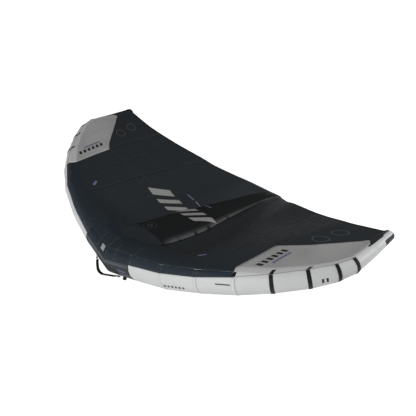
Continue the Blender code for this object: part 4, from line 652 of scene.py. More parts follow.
def tube_core(s):
    side, i, f = segment_of(s)
    return mirrored(tube_centre(i).lerp(tube_centre(i + 1), f), side)


def sleeve_sheet(name, start, end, side, first, last, count, material, wrap=False):
    stations = [s * side for s in tube_stations(start, end)]
    rows = [tube_row(s, first, last, count, 0.0) for s in stations]
    if wrap:
        rows = [row[:-1] for row in rows]
    return grid_piece(name, rows, material, wrap=wrap, core=tube_core(stations[len(stations) // 2]))


def inflated(piece, node):
    stands_for(node)


def cap_patch(piece):
    """Give the tip's outer side its dark cap and leave the strip by the seam pale."""
    piece.data.materials.append(NAVY_DACRON)
    for polygon in piece.data.polygons:
        middle = polygon.center - ORIGIN
        s, angle = station_and_angle(middle, side_of(middle.x))
        if s > TIP_PATCH_START and (angle < TIP_PATCH_ANGLE or angle > 110):
            polygon.material_index = 1


def station_and_angle(point, side):
    """Station and angle round the tube of a place near the tip."""
    point = mirrored(point, side)
    near, far = tube_centre(LAST_STATION - 1), tube_centre(LAST_STATION)
    t = (point - near).dot(far - near) / (far - near).length_squared
    front, up, _, _ = TUBE_FRAMES[LAST_STATION]
    arm = point - near.lerp(far, min(t, 1.0))
    return LAST_STATION - 1 + t, math.degrees(math.atan2(arm.dot(up), arm.dot(front)))


def make_sleeves():
    stations = tube_stations(0, 1)
    stations = [-s for s in reversed(stations[1:])] + stations
    rows = [closed_ring(s, NOSE_SIDES) for s in stations]
    nose = grid_piece("nose_sleeve", rows, SHADED_NOSE_DACRON, wrap=True, core=tube_core(0))
    inflated(nose, "le_centre_sleeve")
    for word, side in SIDES:
        strip = sleeve_sheet(f"top_strip_{word}", 1, 4, side, SEAM_ANGLES, SKIN_ANGLES, STRIP_SIDES,
                             NAVY_DACRON)
        inflated(strip, f"le_top_strip_{word}")
        front = sleeve_sheet(f"front_sleeve_{word}", 1, 4, side, SKIN_ANGLES, ROUND_TO_SEAM, FRONT_SIDES,
                             WHITE_DACRON)
        inflated(front, f"le_front_sleeve_{word}")
        outer = sleeve_sheet(f"outer_sleeve_{word}", 4, TIP_CAP_STATION, side, SEAM_ANGLES, ROUND_TO_SEAM,
                             OUTER_SIDES, WHITE_DACRON, wrap=True)
        cap_patch(outer)
        inflated(outer, f"le_outer_sleeve_{word}")
    return nose


def domed_rows(s, sides, lift, reach, steps=9):
    """Rings that close the tube's tip in a round dome."""
    base = closed_ring(s, sides, lift)
    side, i, _ = segment_of(s)
    along = mirrored(tube_direction(i), side)
    centre = sum(base, Vector()) / len(base)
    rings = []
    for k in range(1, steps + 1):
        turn = math.radians(90 * k / (steps + 0.15))
        rings.append([centre + (p - centre) * math.cos(turn) + along * (reach * math.sin(turn)) for p in base])
    return rings


def make_tip_caps():
    for word, side in SIDES:
        stations = [s * side for s in spread(TIP_CAP_STATION, LAST_STATION, 0.03)]
        rows = [closed_ring(s, CAP_SIDES) for s in stations]
        rows += domed_rows(stations[-1], CAP_SIDES, 0.0, TIP_DOME)
        rows.append([sum(rows[-1], Vector()) / CAP_SIDES] * CAP_SIDES)
        core = tube_core(stations[0])
        cap = grid_piece(f"tip_cap_{word}", rows, WHITE_DACRON, wrap=True, core=core, thickness=0)
        apply_modifier(cap, "WELD", merge_threshold=0.00005)
        apply_modifier(cap, "SOLIDIFY", thickness=SLEEVE_CLOTH, offset=-1.0)
        cap_patch(cap)
        inflated(cap, f"le_tip_cap_{word}")


NOSE_SLEEVE = make_sleeves()
make_tip_caps()


# Canopy panels

ON_TUBE_STEPS, NOSE_STEPS = 14, 16
PANEL_PITCH = 0.018
# Length over which the painted shade of the tube, seen through the canopy cloth, fades out behind it, and the
# same for the grey patch's lighter tone over the tube
TUBE_FADE, PATCH_FADE = 0.035, 0.012


def canopy_row(side, border, start_v, end_v, count, on_skin, fade):
    """Points of one chordwise row and their shade; the first part may lie on the tube."""
    row = [skin_point(border(0.0) * side, k / ON_TUBE_STEPS) for k in range(ON_TUBE_STEPS if on_skin else 0)]
    over = [1.0] * len(row)
    for v in np.linspace(start_v, end_v, count + 1):
        row.append(canopy_at(border(v) * side, v))
        over.append(max(0.0, 1 - v * chord_at(border(v)) / fade))
    return (eased(row, ON_TUBE_STEPS, 0.02) if on_skin else row), over


def canopy_panel(name, near, far, start_v, end_v, side, material, on_skin):
    """Panel between two chordwise borders and two spanwise ones."""
    start, end = start_v(near(0.5)), end_v(near(0.5))
    middle = (start + end) / 2
    width = (canopy_at(near(middle), middle) - canopy_at(far(middle), middle)).length
    steps = max(6, math.ceil(width / PANEL_PITCH))
    count = max(4, math.ceil(chord_at(near(0.5)) * (end - start) / PANEL_PITCH))
    fade = PATCH_FADE if material is GREY_CLOTH else TUBE_FADE
    rows, over = [], []
    for t in (k / steps for k in range(steps + 1)):
        def border(v, t=t):
            return near(v) + (far(v) - near(v)) * t

        station = border(0.0)
        row, shade = canopy_row(side, border, start_v(station), end_v(station), count, on_skin, fade)
        rows.append(row)
        over.append(shade)
    return grid_piece(name, rows, material, thickness=CANOPY_CLOTH, over=over)


def level(value):
    return lambda s: value


def seam_line(table):
    return lambda v: straight_at(table, v)


def before_hem(s):
    return 1 - 0.4 * HEM_WIDTH / chord_at(s)


def patch_border(s):
    return table_at(PATCH_BORDER, abs(s))[0]


def make_canopy():
    panels = []
    inner, outer, tip = seam_line(INNER_SEAM), seam_line(OUTER_SEAM), seam_line(TIP_SEAM)
    root, end, last = level(INNER_STATION), level(PATCH_END), level(TIP_CAP_STATION)
    front, forward = level(0.0), level(FORWARD_SEAM)
    plan = (
        ("canopy_inner_front", root, inner, front, forward, True, CANOPY_CLOTH_FINISH, "canopy_cloth"),
        ("canopy_inner_rear", root, inner, forward, before_hem, False, CANOPY_CLOTH_FINISH, "canopy_cloth"),
        ("canopy_middle", inner, outer, front, before_hem, True, CANOPY_CLOTH_FINISH, "canopy_cloth"),
        ("canopy_outer", outer, tip, front, before_hem, True, CANOPY_CLOTH_FINISH, "canopy_cloth"),
        ("canopy_tip_patch", tip, end, front, patch_border, True, GREY_CLOTH, "grey_cloth"),
        ("canopy_tip_panel", tip, end, patch_border, before_hem, False, CANOPY_CLOTH_FINISH, "canopy_cloth"),
        ("canopy_tip_corner", end, last, front, before_hem, True, BLACK_CLOTH, "black_cloth"),
    )
    for word, side in SIDES:
        for name, near, far, start_v, end_v, on_skin, finish, slot in plan:
            piece = canopy_panel(f"{name}_cloth_{word}", near, far, start_v, end_v, side, finish, on_skin)
            stands_for(f"{name}_{word}")
            panels.append(stretched_sheet(piece))
    return panels


def make_nose_cloth():
    """Canopy over the nose, from the tube to the front of the strut panel."""
    rows, over = [], []
    for s in spread(-INNER_STATION, INNER_STATION, 0.05):
        row = [skin_point(s, k / ON_TUBE_STEPS) for k in range(ON_TUBE_STEPS)]
        start = mirrored(front_edge(s), side_of(s))
        end = strut_top_point(s / INNER_STATION, STRUT_START) - Vector((0, GAP, 0))
        row += [start.lerp(end, k / NOSE_STEPS) for k in range(NOSE_STEPS + 1)]
        rows.append(eased(row, ON_TUBE_STEPS, 0.03))
        # Painted shade of the tube seen through the cloth, fading out behind the tube.
        depth = (end - start).length / NOSE_STEPS
        fading = [max(0.0, 1 - k * depth / TUBE_FADE) for k in range(NOSE_STEPS + 1)]
        over.append([1.0] * ON_TUBE_STEPS + fading)
    piece = grid_piece("nose_cloth", rows, CANOPY_CLOTH_FINISH, thickness=CANOPY_CLOTH, over=over)
    stands_for("canopy_nose_panel")
    return stretched_sheet(piece)


PANELS = make_canopy()
PANELS.append(make_nose_cloth())


# Strut

# Places of the small puckers beside the crease, in the top view
CREASE_DENTS = (
    (0.269, 0.477), (0.250, 0.610), (0.225, 0.800), (0.205, 0.963), (0.222, 1.081), (0.185, 1.240),
    (0.189, 1.363), (0.176, 1.461), (-0.255, 0.520), (-0.235, 0.700), (-0.215, 0.900), (-0.200, 1.060),
    (-0.180, 1.300),
)
# Share of the panel's half width where the painted highlight on its flank begins and the width over which it
# grows, and the pucker depth that clears the painted highlight, painting shade in the dents
FLANK_START, FLANK_WIDTH, HIDING_DENT = 0.72, 0.24, 0.0022
STRUT_SIDES, SADDLE_STEPS, PUCKER_COUNT = 64, 6, 17


def crease_dent(x, y):
    """Small puckers beside the crease between the canopy and the strut."""
    depth = 0.0
    for k, (centre_x, centre_y) in enumerate(CREASE_DENTS):
        wide, long = 0.030 + 0.006 * (k % 3), 0.016 + 0.004 * (k % 2)
        depth += (0.0035 + 0.001 * (k % 2)) * bell(x - centre_x, wide) * bell(y - centre_y, long)
    return depth


def make_strut_panel():
    rows, wear_and_flank_highlight = [], []
    for share in spread(STRUT_START, STRUT_END, 0.007):
        drawn_in = 1 - (CANOPY_CLOTH + GAP) / strut_values(share)[0]
        row, flank_highlights = [], []
        ends = min(1.0, (share - STRUT_START) * 20) * min(1.0, (STRUT_END - share) * 12)
        for across in spread(-drawn_in, drawn_in, 0.04):
            point = strut_top_point(across, share)
            dent = crease_dent(point.x, point.y)
            point.z -= dent * min(1.0, (drawn_in - abs(across)) / 0.08)
            row.append(point)
            # Painted highlight along the panel's flanks, faded at both ends and cleared where the puckers dip,
            # as painted shade in the dents.
            flank = min(max((abs(across) - FLANK_START) / FLANK_WIDTH, 0.0), 1.0)
            flank_highlights.append(ends * flank ** 2 * max(0.0, 1 - dent / HIDING_DENT))
        rows.append(row)
        wear_and_flank_highlight.append(flank_highlights)
    piece = grid_piece("strut_hump", rows, STRUT_CLOTH, thickness=CANOPY_CLOTH, over=wear_and_flank_highlight)
    stands_for("strut_top_panel")
    return stretched_sheet(piece)


def strut_axis_height(share):
    _, _, crown, radius = strut_values(share)
    return crown - CANOPY_CLOTH - GAP - radius


def strut_ring(share, lift, sides=STRUT_SIDES):
    radius, y, height = strut_values(share)[3] + lift, share * ROOT_CHORD_LENGTH, strut_axis_height(share)
    turns = [2 * math.pi * k / sides for k in range(sides)]
    return [Vector((math.sin(t) * radius, y, height + math.cos(t) * radius)) for t in turns]


def tube_rear_y(x, z):
    """How far aft the back of the tube reaches at a place beside the nose."""
    s = abs(x) / tube_centre(1).x
    angle = 180
    for _ in range(12):
        low, high = 90, 270
        for _ in range(18):
            angle = (low + high) / 2
            low, high = (angle, high) if on_tube(s, angle).z > z else (low, angle)
        s = max(s + (abs(x) - on_tube(s, angle).x) / tube_centre(1).x, 0)
    return on_tube(s, angle).y


def strut_puckers(share, k):
    """Small drawn-in folds at the sewn front end of the strut sleeve."""
    away = (share - STRUT_START) * ROOT_CHORD_LENGTH
    return 0.0025 * bell(away, 0.05) * (0.5 + 0.5 * math.sin(k * 2 * math.pi / STRUT_SIDES * PUCKER_COUNT))


def make_strut_sleeve():
    front = strut_ring(STRUT_START, 0)
    saddle = [Vector((p.x, tube_rear_y(p.x, p.z) + 0.0012, p.z)) for p in front]
    rows = [[near.lerp(far, k / SADDLE_STEPS) for near, far in zip(saddle, front)] for k in range(SADDLE_STEPS)]
    for share in spread(STRUT_START, STRUT_CAP_START, 0.008):
        ring = strut_ring(share, 0)
        centre = sum(ring, Vector()) / len(ring)
        rows.append([p - (p - centre).normalized() * strut_puckers(share, k) for k, p in enumerate(ring)])
    middle = 0.5
    core = Vector((0, middle * ROOT_CHORD_LENGTH, strut_axis_height(middle)))
    sleeve = grid_piece("strut_tube_sleeve", rows, STRUT_CLOTH, wrap=True, core=core)
    inflated(sleeve, "strut_sleeve")


STRUT_HUMP = make_strut_panel()
make_strut_sleeve()


# Bladders inside the sleeves

BLADDER_SIDES, BLADDER_DOME = 48, 0.027
TUBE_BLADDER_INSET, STRUT_BLADDER_INSET = 0.0060, 0.0055


def rod_piece(name, rings, material, body="wing", closed=True):
    """Closed solid through rings of points, laid out in metres in its UV map."""
    core = sum(map(Vector, rings[len(rings) // 2]), Vector()) / len(rings[0])
    piece = grid_piece(name, rings, material, wrap=True, core=core, thickness=0, body=body)
    if closed:
        bm = bmesh.new()
        bm.from_mesh(piece.data)
        bmesh.ops.holes_fill(bm, edges=[edge for edge in bm.edges if edge.is_boundary], sides=0)
        flat = [face for face in bm.faces if len(face.verts) > 4]
        for face in flat:
            face.smooth = False
        bmesh.ops.triangulate(bm, faces=flat)
        bmesh.ops.recalc_face_normals(bm, faces=bm.faces)
        bm.to_mesh(piece.data)
        bm.free()
    return piece


def make_bladders():
    half = [0.35, 0.97, 1.03, 2, 3, 4, 5, 6, 7, 8, 9, LAST_STATION]
    stations = [-s for s in reversed(half)] + [0.0] + half
    rows = [closed_ring(s, BLADDER_SIDES, -TUBE_BLADDER_INSET) for s in stations]
    near, far = (domed_rows(s, BLADDER_SIDES, -TUBE_BLADDER_INSET, BLADDER_DOME, 5)
                 for s in (-LAST_STATION, LAST_STATION))
    tube = rod_piece("tube_bladder", near[::-1] + rows + far, BLADDER_FILM)
    inflated(tube, "le_bladder")
    shares = spread(0.168, STRUT_CAP_START - 0.004, 0.03)
    rings = [strut_ring(share, -STRUT_BLADDER_INSET, BLADDER_SIDES) for share in shares]
    inflated(rod_piece("strut_air_bladder", rings, BLADDER_FILM), "strut_bladder")
    return tube


def make_strut_cap():
    """Domed cap that closes the rear end of the strut."""
    radius = strut_values(STRUT_CAP_START)[3]
    base = strut_ring(STRUT_CAP_START, 0)
    centre = sum(base, Vector()) / len(base)
    rings = []
    for k in range(9):
        turn = math.radians(90 * k / 8.3)
        aft = Vector((0, GAP + radius / 2 * math.sin(turn), 0))
        rings.append([centre + (p - centre) * math.cos(turn) + aft for p in base])
    inflated(rod_piece("strut_tail_cap", rings, BLACK_CLOTH), "strut_end_cap")


TUBE_BLADDER = make_bladders()
make_strut_cap()


# Bands, tapes and stitching

BAND_HALF_WIDTH, BAND_CLOTH, BAND_START_ANGLE = 0.013, 0.0009, -150
LINE_CLOTH, LINE_PITCH = 0.0004, 0.02
CREASE_TAPE_HALF_WIDTH, CREASE_DEPTH = 0.007, 0.0022
DOWN = Vector((0, 0, -1))


def tree_of(pieces):
    """Search tree over the faces of some pieces."""
    verts, faces = [], []
    for piece in pieces:
        base = len(verts)
        verts += [v.co.copy() for v in piece.data.vertices]
        faces += [[base + i for i in polygon.vertices] for polygon in piece.data.polygons]
    return BVHTree.FromPolygons(verts, faces)


CLOTH_TREE = tree_of(PANELS + [STRUT_HUMP])


def laid_on_cloth(point, lift):
    """Place above the upper face of the canopy nearest to a point."""
    place, normal, _, _ = CLOTH_TREE.find_nearest(point + ORIGIN + Vector((0, 0, 0.004)))
    if normal.z < 0:
        normal = -normal
    return place + normal * lift - ORIGIN


def dropped(x, y, lift):
    """Place above the canopy straight under a point seen from the top."""
    start = Vector((x, y, 2.0)) + Vector((ORIGIN.x, ORIGIN.y, 0))
    hits = [CLOTH_TREE.ray_cast(start + Vector((step, 0, 0)), DOWN) for step in (0, 0.002, -0.002)]
    place, normal = max(((hit[0], hit[1]) for hit in hits if hit[0]), key=lambda hit: hit[0].z)
    return Vector((start.x, start.y, place.z)) + normal * lift - ORIGIN


def join_pieces(name, pieces):
    use_only(pieces[0])
    for piece in pieces[1:]:
        piece.select_set(True)
    bpy.ops.object.join()
    pieces[0].name = name
    return pieces[0]


# Band: end angle on the canopy side, its lean there and its place beside the joint
BAND_TOPS = {5: (74, 0.10, -0.01), 6: (76, 0.16, 0.0), 7: (66.5, 0.0, 0.10), 8: (70, 0.0, 0.03)}


def band_strip(name, station, side):
    """Band round a joint of the tube, its upper end laid on the tip patch."""
    seam = SEAM_ANGLES[station]
    top, lean, shift = BAND_TOPS[station]
    angles = spread(BAND_START_ANGLE, seam - 1.5, 5) + [seam + 1] + spread(seam + 2, top, 4)
    rows = []
    for angle in angles:
        above = max(0.0, (angle - seam) / (top - seam))
        lift = 0.0012 + (0.0022 if angle > seam else 0.0)
        middle = station + shift + lean * above
        row = []
        for offset in spread(-BAND_HALF_WIDTH, BAND_HALF_WIDTH, 0.0044):
            segment = SEGMENT_LENGTHS[station if offset > -0.05 * shift else station - 1]
            row.append(on_tube((middle + offset / segment) * side, angle, lift))
        rows.append(row)
    return grid_piece(name, rows, BLACK_CLOTH, core=tube_core(station * side), thickness=BAND_CLOTH)


def make_bands():
    for word, side in SIDES:
        strips = [band_strip(f"band_{station}", station, side) for station in (5, 6, 7, 8)]
        stations = [s * side for s in spread(4.91, 8.09, 0.12)]
        rows = [[on_tube(s, angle, 0.0021) for angle in spread(BAND_START_ANGLE, -164, 3.5)] for s in stations]
        core = tube_core(6.5 * side)
        strips.append(grid_piece("band_tape", rows, BLACK_CLOTH, core=core, thickness=BAND_CLOTH))
        bands = join_pieces(f"tube_bands_{word}", strips)
        stands_for(f"le_bands_{word}")
        tape_sheet(2 * BAND_HALF_WIDTH)


def tube_line(name, path, width, material, lift=0.0004, steps=24):
    """Narrow tape on the tube through (station, angle) places."""
    run = np.linspace(0, len(path) - 1, steps * (len(path) - 1) + 1)
    line = list(zip(*(np.interp(run, range(len(path)), values).tolist() for values in zip(*path))))
    rows = []
    for k, (s, angle) in enumerate(line):
        before, after = line[max(k - 1, 0)], line[min(k + 1, len(line) - 1)]
        along = (on_tube(*after) - on_tube(*before)).normalized()
        centre = on_tube(s, angle, lift)
        out = (centre - tube_core(s)).normalized()
        across = along.cross(out).normalized()
        dip = joint_dip(s, angle) if lift < CANOPY_LIFT else 0.0
        rows.append([centre + across * (width * t) - out * dip * 0.8 for t in (-0.5, 0.0, 0.5)])
    return grid_piece(name, rows, material, core=tube_core(line[len(line) // 2][0]), thickness=LINE_CLOTH)


def cloth_place(s, v, lift):
    """Place over the canopy; v below zero counts back over the tube."""
    return laid_on_cloth(canopy_at(s, v) if v >= 0 else skin_point(s, 1 + v), lift)


def cloth_line(name, path, width, material, lift=0.0007):
    """Narrow tape on the canopy through (station, chord share) places."""
    corners = [cloth_place(s, v, 0) for s, v in path]
    line = []
    for start, end, near, far in zip(path, path[1:], corners, corners[1:]):
        count = max(1, math.ceil((far - near).length / LINE_PITCH))
        line += [[a + (b - a) * (k / count) for a, b in zip(start, end)] for k in range(count)]
    centres = [cloth_place(s, v, lift) for s, v in line + [path[-1]]]
    rows = []
    for k, centre in enumerate(centres):
        up = (centre - laid_on_cloth(centre, 0)).normalized()
        across = heading(centres, k).normalized().cross(up).normalized()
        rows.append([laid_on_cloth(centre + across * (width * t), lift) for t in (-0.5, 0.5)])
    return grid_piece(name, rows, material, core=centres[len(centres) // 2] + DOWN * 0.5, thickness=LINE_CLOTH)


# Seams of the canopy through (station, chord share) places; a share below zero lies on the tube
CANOPY_SEAMS = (
    ("inner", [(2.40, -0.95), (2.40, 0.0), (2.50, 0.33), (2.50, 0.50), (2.45, 0.69), (2.38, 0.89),
               (2.31, 0.985)]),
    ("outer", [(3.22, -0.95), (3.22, 0.0), (3.15, 0.19), (3.08, 0.40), (3.07, 0.42)]),
    ("tip", [(3.85, 0.40), (3.83, 0.60), (3.71, 0.83), (3.63, 0.985)]),
    ("front_cross", [(3.85, 0.395), (3.4, 0.41), (3.0, 0.43), (2.5, 0.465)]),
    ("middle_cross", [(3.84, 0.595), (3.5, 0.625), (3.1, 0.645), (2.6, 0.635), (2.45, 0.65), (1.95, 0.76)]),
    ("rear_cross", [(3.70, 0.83), (2.7, 0.84), (2.40, 0.84)]),
    ("nose", [(1.12, -0.95), (1.25, 0.0), (1.5, 0.13), (1.75, 0.27), (2.1, 0.38), (2.5, 0.465)]),
    ("root", [(2.5, 0.47), (2.0, 0.455), (1.5, 0.448), (0.74, 0.448)]),
)


def make_canopy_seams():
    for word, side in SIDES:
        tapes = [cloth_line(f"{name}_seam", [(s * side, v) for s, v in path], 0.009, SEAM_TAPE)
                 for name, path in CANOPY_SEAMS]
        edge = [(s * side, -0.93) for s in (0.02, 0.5, 1, 1.5, 2, 2.5, 3, 3.5, 3.98)]
        tapes.append(cloth_line("front_edge_seam", edge, 0.005, SEAM_TAPE, lift=0.0014))
        tapes = join_pieces(f"canopy_seam_tapes_{word}", tapes)
        tape_sheet(0.010)


def make_crease_tapes():
    """Tapes sewn under the crease between the canopy and the strut panel."""
    front = strut_top_point(1, STRUT_START).y
    for word, side in SIDES:
        rows = []
        for v in spread(0.03, 0.985, 0.012):
            crease = inner_edge(v)
            outward = canopy_at(INNER_STATION + 0.03, v) - canopy_at(INNER_STATION, v)
            rise = Vector((-1, 0, 0))
            if crease.y > front:
                share = crease.y / ROOT_CHORD_LENGTH
                rise = strut_top_point(0.95, share) - strut_top_point(1, share)
            row = [crease + outward.normalized() * CREASE_TAPE_HALF_WIDTH + Vector((0, 0, -CREASE_DEPTH)),
                   crease + Vector((-0.0012, 0, -CREASE_DEPTH)),
                   crease + rise.normalized() * CREASE_TAPE_HALF_WIDTH + Vector((-CREASE_DEPTH, 0, -0.0006))]
            rows.append([mirrored(point, side) for point in row])
        tape = grid_piece(f"strut_crease_tape_{word}", rows, BLACK_CLOTH, thickness=0.0005)
        tape_sheet(2 * CREASE_TAPE_HALF_WIDTH)


def make_tube_tapes():
    """Stitch pairs over the dark strip, joint strips on the pale sleeve, a grey tip-sleeve seam line that also
    paints its fold's shade, and a lighter nose-seam band that is a painted highlight.
    """
    stitches, strips = [], []
    for side in (-1, 1):
        for station in (1, 2, 3):
            for offset in (-0.013, 0.013):
                s = (station + offset / SEGMENT_LENGTHS[station]) * side
                start = SEAM_ANGLES[station] + 1
                path = [(s, start), (s, SKIN_ANGLES[station] - 1)]
                stitches.append(tube_line("joint_stitches", path, 0.0035, STITCH_TAPE, steps=12))
        for station in (2, 3, 4):
            path = [(station * side, SEAM_ANGLES[station] - 2), (station * side, -60), (station * side, -160)]
            strips.append(tube_line("joint_strip", path, 0.030, PALE_TAPE, lift=0.0006))
        dark = [(4.0 * side, SEAM_ANGLES[4] + 1), (4.045 * side, SKIN_ANGLES[4] + 1)]
        strips.append(tube_line("strip_end_tape", dark, 0.020, BLACK_CLOTH, lift=0.0008, steps=12))
        # Grey line on the tip sleeve's seam; its darkness against the white also paints the shade of the fold
        # there.
        edge = [(s * side, SEAM_ANGLES[s] + 0.6) for s in (4, 5, 6, 7, 8)]
        strips.append(tube_line("sleeve_seam", edge, 0.005, GREY_CLOTH, lift=CANOPY_LIFT + 0.0008, steps=12))
    for s, start in ((-0.40, 12), (0.0, 11), (0.40, 12)):
        stitches.append(tube_line("nose_stitches", [(s, start), (s, 39)], 0.004, STITCH_TAPE, steps=12))
    # Lighter band just under the nose seam: a painted highlight along the tube's crest.
    seam = list(enumerate(SEAM_ANGLES))
    highlight_line = [(s, straight_at(seam, abs(s)) - 7.5) for s in np.linspace(-0.985, 0.985, 9)]
    pale = tube_line("seam_piping", highlight_line, 0.036, PAINTED_SEAM_HIGHLIGHT, steps=6)
    join_pieces("tube_stitching", stitches)
    join_pieces("tube_joint_strips", strips)
    for word, s, end in (("left", -0.40, 70), ("middle", 0.0, 86), ("right", 0.40, 66)):
        line = tube_line(f"nose_cloth_stitches_{word}", [(s, 41), (s, end)], 0.004, STITCH_TAPE,
                         lift=CANOPY_LIFT + 0.0008, steps=16)


STITCH_TAPE = cloth_finish("pale_stitching", (0.075, 0.079, 0.078), 0.6, 0.0015, wear_and_flank_highlight=0.15, level=0.2)
# Lighter navy of the band under the nose seam, a painted highlight.
PAINTED_SEAM_HIGHLIGHT = cloth_finish("seam_piping", (0.062, 0.069, 0.080), 0.5, 0.0010, wear_and_flank_highlight=0.08, level=0.2)
make_bands()
make_canopy_seams()
make_crease_tapes()
make_tube_tapes()


# Trailing edge: hem, battens and their pockets

BATTEN_LENGTH, POCKET_WIDTH = 0.22, 0.034


def cross_ring(s, v, section):
    """Closed ring of (offset along the span, depth) places at one chord share."""
    step = 0.02 * side_of(s)
    centre, normal = canopy_at(s, v), canopy_normal(s, v)
    along = (canopy_at(s + step, v) - canopy_at(s - step, v)).normalized()
    return [centre + along * x - normal * depth for x, depth in section]


def hem_ring(s):
    """Folded tape round the canopy's rear edge."""
    width = HEM_WIDTH / chord_at(s)
    start = 1 - width
    rear, normal = canopy_at(s, 1.0), canopy_normal(s, 1.0)
    edge = rear + (rear - canopy_at(s, start)).normalized() * 0.0006
    face = [canopy_at(s, v) for v in (start, (start + 1) / 2, 1 - 0.15 * width)]
    above = [place + normal * 0.0009 for place in face]
    below = [place - normal * 0.0019 for place in reversed(face)]
    return above + [edge + normal * 0.0002, edge - normal * 0.0012] + below


def make_trailing_edge():
    for word, side in SIDES:
        stations = [s * side for s in spread(INNER_STATION, 4, 0.02) + spread(4.02, TIP_CAP_STATION, 0.05)]
        hem = rod_piece(f"rear_hem_{word}", [hem_ring(s) for s in stations], BLACK_CLOTH)
        stands_for(f"trailing_edge_hem_{word}")
        tape_sheet(HEM_WIDTH)
        for place, station in (("inner", 2.4), ("outer", 3.3)):
            make_batten(place, word, station * side)


def make_batten(place, word, s):
    chord = chord_at(s)
    end = 1 - (HEM_WIDTH + 0.012) / chord
    start = end - BATTEN_LENGTH / chord
    pitch = 0.012 / chord
    half, top, bottom, edge = 0.009, 0.0016, 0.0031, 0.0004
    right = [(half - edge, top), (half, top + edge), (half, bottom - edge), (half - edge, bottom)]
    section = [(-half, top + edge), (-half + edge, top)] + right
    section += [(-half + edge, bottom), (-half, bottom - edge)]
    rings = [cross_ring(s, v, section) for v in spread(start, end, pitch)]
    batten = rod_piece(f"{place}_batten_strip_{word}", rings, BATTEN_PLASTIC)
    stands_for(f"{place}_batten_{word}")
    under, low = 0.0012, bottom + edge
    flank = [(-POCKET_WIDTH / 2, under), (-0.0125, under + 0.0002), (-0.0098, low * 0.8), (-0.0085, low)]
    rise = flank + [(-x, depth) for x, depth in reversed(flank)]
    section = rise + [(x, depth + 0.0008) for x, depth in reversed(rise)]
    rings = [cross_ring(s, v, section) for v in spread(start - pitch, 1 - HEM_WIDTH * 0.6 / chord, pitch)]
    pocket = rod_piece(f"{place}_batten_pocket_{word}", rings, BLACK_CLOTH)
    tape_sheet(POCKET_WIDTH)
    step = 0.1
    shift = step * 0.014 / (canopy_at(s + step * side_of(s), end) - canopy_at(s, end)).length
    corners = [(s - shift, end), (s - shift, start), (s + shift, start), (s + shift, end)]
    stitches = cloth_line(f"{place}_batten_stitches_{word}", corners, 0.0035, STITCH_TAPE)


BATTEN_PLASTIC = cloth_finish("batten_strip", (0.18, 0.18, 0.19), 0.35, 0.0012, wear_and_flank_highlight=0.10)
make_trailing_edge()


# Fittings: axes and plain shapes

SCREW_RADIUS, SCREW_HEIGHT = 0.0035, 0.0022
WEBBING = cloth_finish("black_webbing", (0.0075, 0.0075, 0.008), 0.65, 0.0016, rib=0.0045, rib_light=0.15,
                       wear_and_flank_highlight=0.2, level=0.2)
THREAD = cloth_finish("pale_thread", (0.09, 0.09, 0.085), 0.6, 0.0008, wear_and_flank_highlight=0.15)
TAG_CLOTH = cloth_finish("blank_tag_weave", (0.34, 0.345, 0.35), 0.55, 0.0007, wear_and_flank_highlight=0.08, level=0.25)


def hard_finish(name, colour, roughness, grain=220.0, depth=0.15, metallic=0.0):
    """Moulded surface with a fine grain and slightly uneven colour."""
    material, shader = new_finish(name, roughness)
    shader.inputs["Metallic"].default_value = metallic
    place = wire_up(material, "ShaderNodeTexCoord")
    broad = mottle(material, place, 18.0)
    dye = blended(material, broad, toned(colour, 0.82), toned(colour, 1.18))
    link(material, dye, shader.inputs["Base Color"])
    vary_roughness(material, shader, broad, roughness, 0.07)
    fine = mottle(material, place, grain, detail=2.0)
    link(material, bumped(material, fine, depth, 0.0006), shader.inputs["Normal"])
    return material


def twill_finish(name):
    """Woven carbon under a clear coat, its checks laid out round the bar."""
    material, shader = new_finish(name, 0.34, coat=0.7)
    place = wire_up(material, "ShaderNodeTexCoord")
    scale = wire_up(material, "ShaderNodeMapping", {0: place.outputs["UV"]})
    scale.inputs["Rotation"].default_value = (0, 0, math.radians(45))
    weave = wire_up(material, "ShaderNodeTexChecker", {"Vector": scale.outputs[0], "Color1": grey(0.010),
                                                       "Color2": grey(0.028), "Scale": 330.0})
    link(material, weave.outputs[0], shader.inputs["Base Color"])
    link(material, bumped(material, weave.outputs[1], 0.12, 0.0003), shader.inputs["Normal"])
    return material


BLACK_PLASTIC = hard_finish("black_moulding", (0.014, 0.014, 0.015), 0.42)
GREY_PLASTIC = hard_finish("grey_moulding", (0.11, 0.115, 0.12), 0.45)
HOSE_RUBBER = hard_finish("hose_rubber", (0.020, 0.020, 0.021), 0.60, grain=90.0, depth=0.25)
GRIP_FOAM = hard_finish("grip_foam", (0.016, 0.016, 0.017), 0.82, grain=520.0, depth=0.6)
CARBON = twill_finish("carbon_twill")
STEEL = hard_finish("screw_steel", (0.55, 0.55, 0.56), 0.30, grain=300.0, depth=0.08, metallic=1.0)


def tube_out(s, angle):
    """Outward direction square to the tube's skin."""
    along = on_tube(s + 0.001, angle) - on_tube(s - 0.001, angle)
    round_it = on_tube(s, angle + 1) - on_tube(s, angle - 1)
    normal = along.cross(round_it).normalized()
    return normal if normal.dot(on_tube(s, angle) - on_tube(s, angle, -0.08)) > 0 else -normal


def strap_ring(place, ahead, width_dir, width, thickness):
    """Flat section with rounded edges, square to the strap's run."""
    across = width_dir.normalized()
    face = ahead.cross(across).normalized()
    half_w, half_t = width / 2, thickness / 2
    soft = half_t * 0.7
    edges = (-half_w + soft, -half_w / 3, half_w / 3, half_w - soft)
    outline = [(x, -half_t) for x in edges] + [(half_w, -half_t + soft), (half_w, half_t - soft)]
    outline += [(x, half_t) for x in reversed(edges)] + [(-half_w, half_t - soft), (-half_w, -half_t + soft)]
    return [place + across * x + face * y for x, y in outline]


def strap_rings(path, width_dir, width, thickness):
    return [strap_ring(place, heading(path, k), width_dir, width, thickness) for k, place in enumerate(path)]


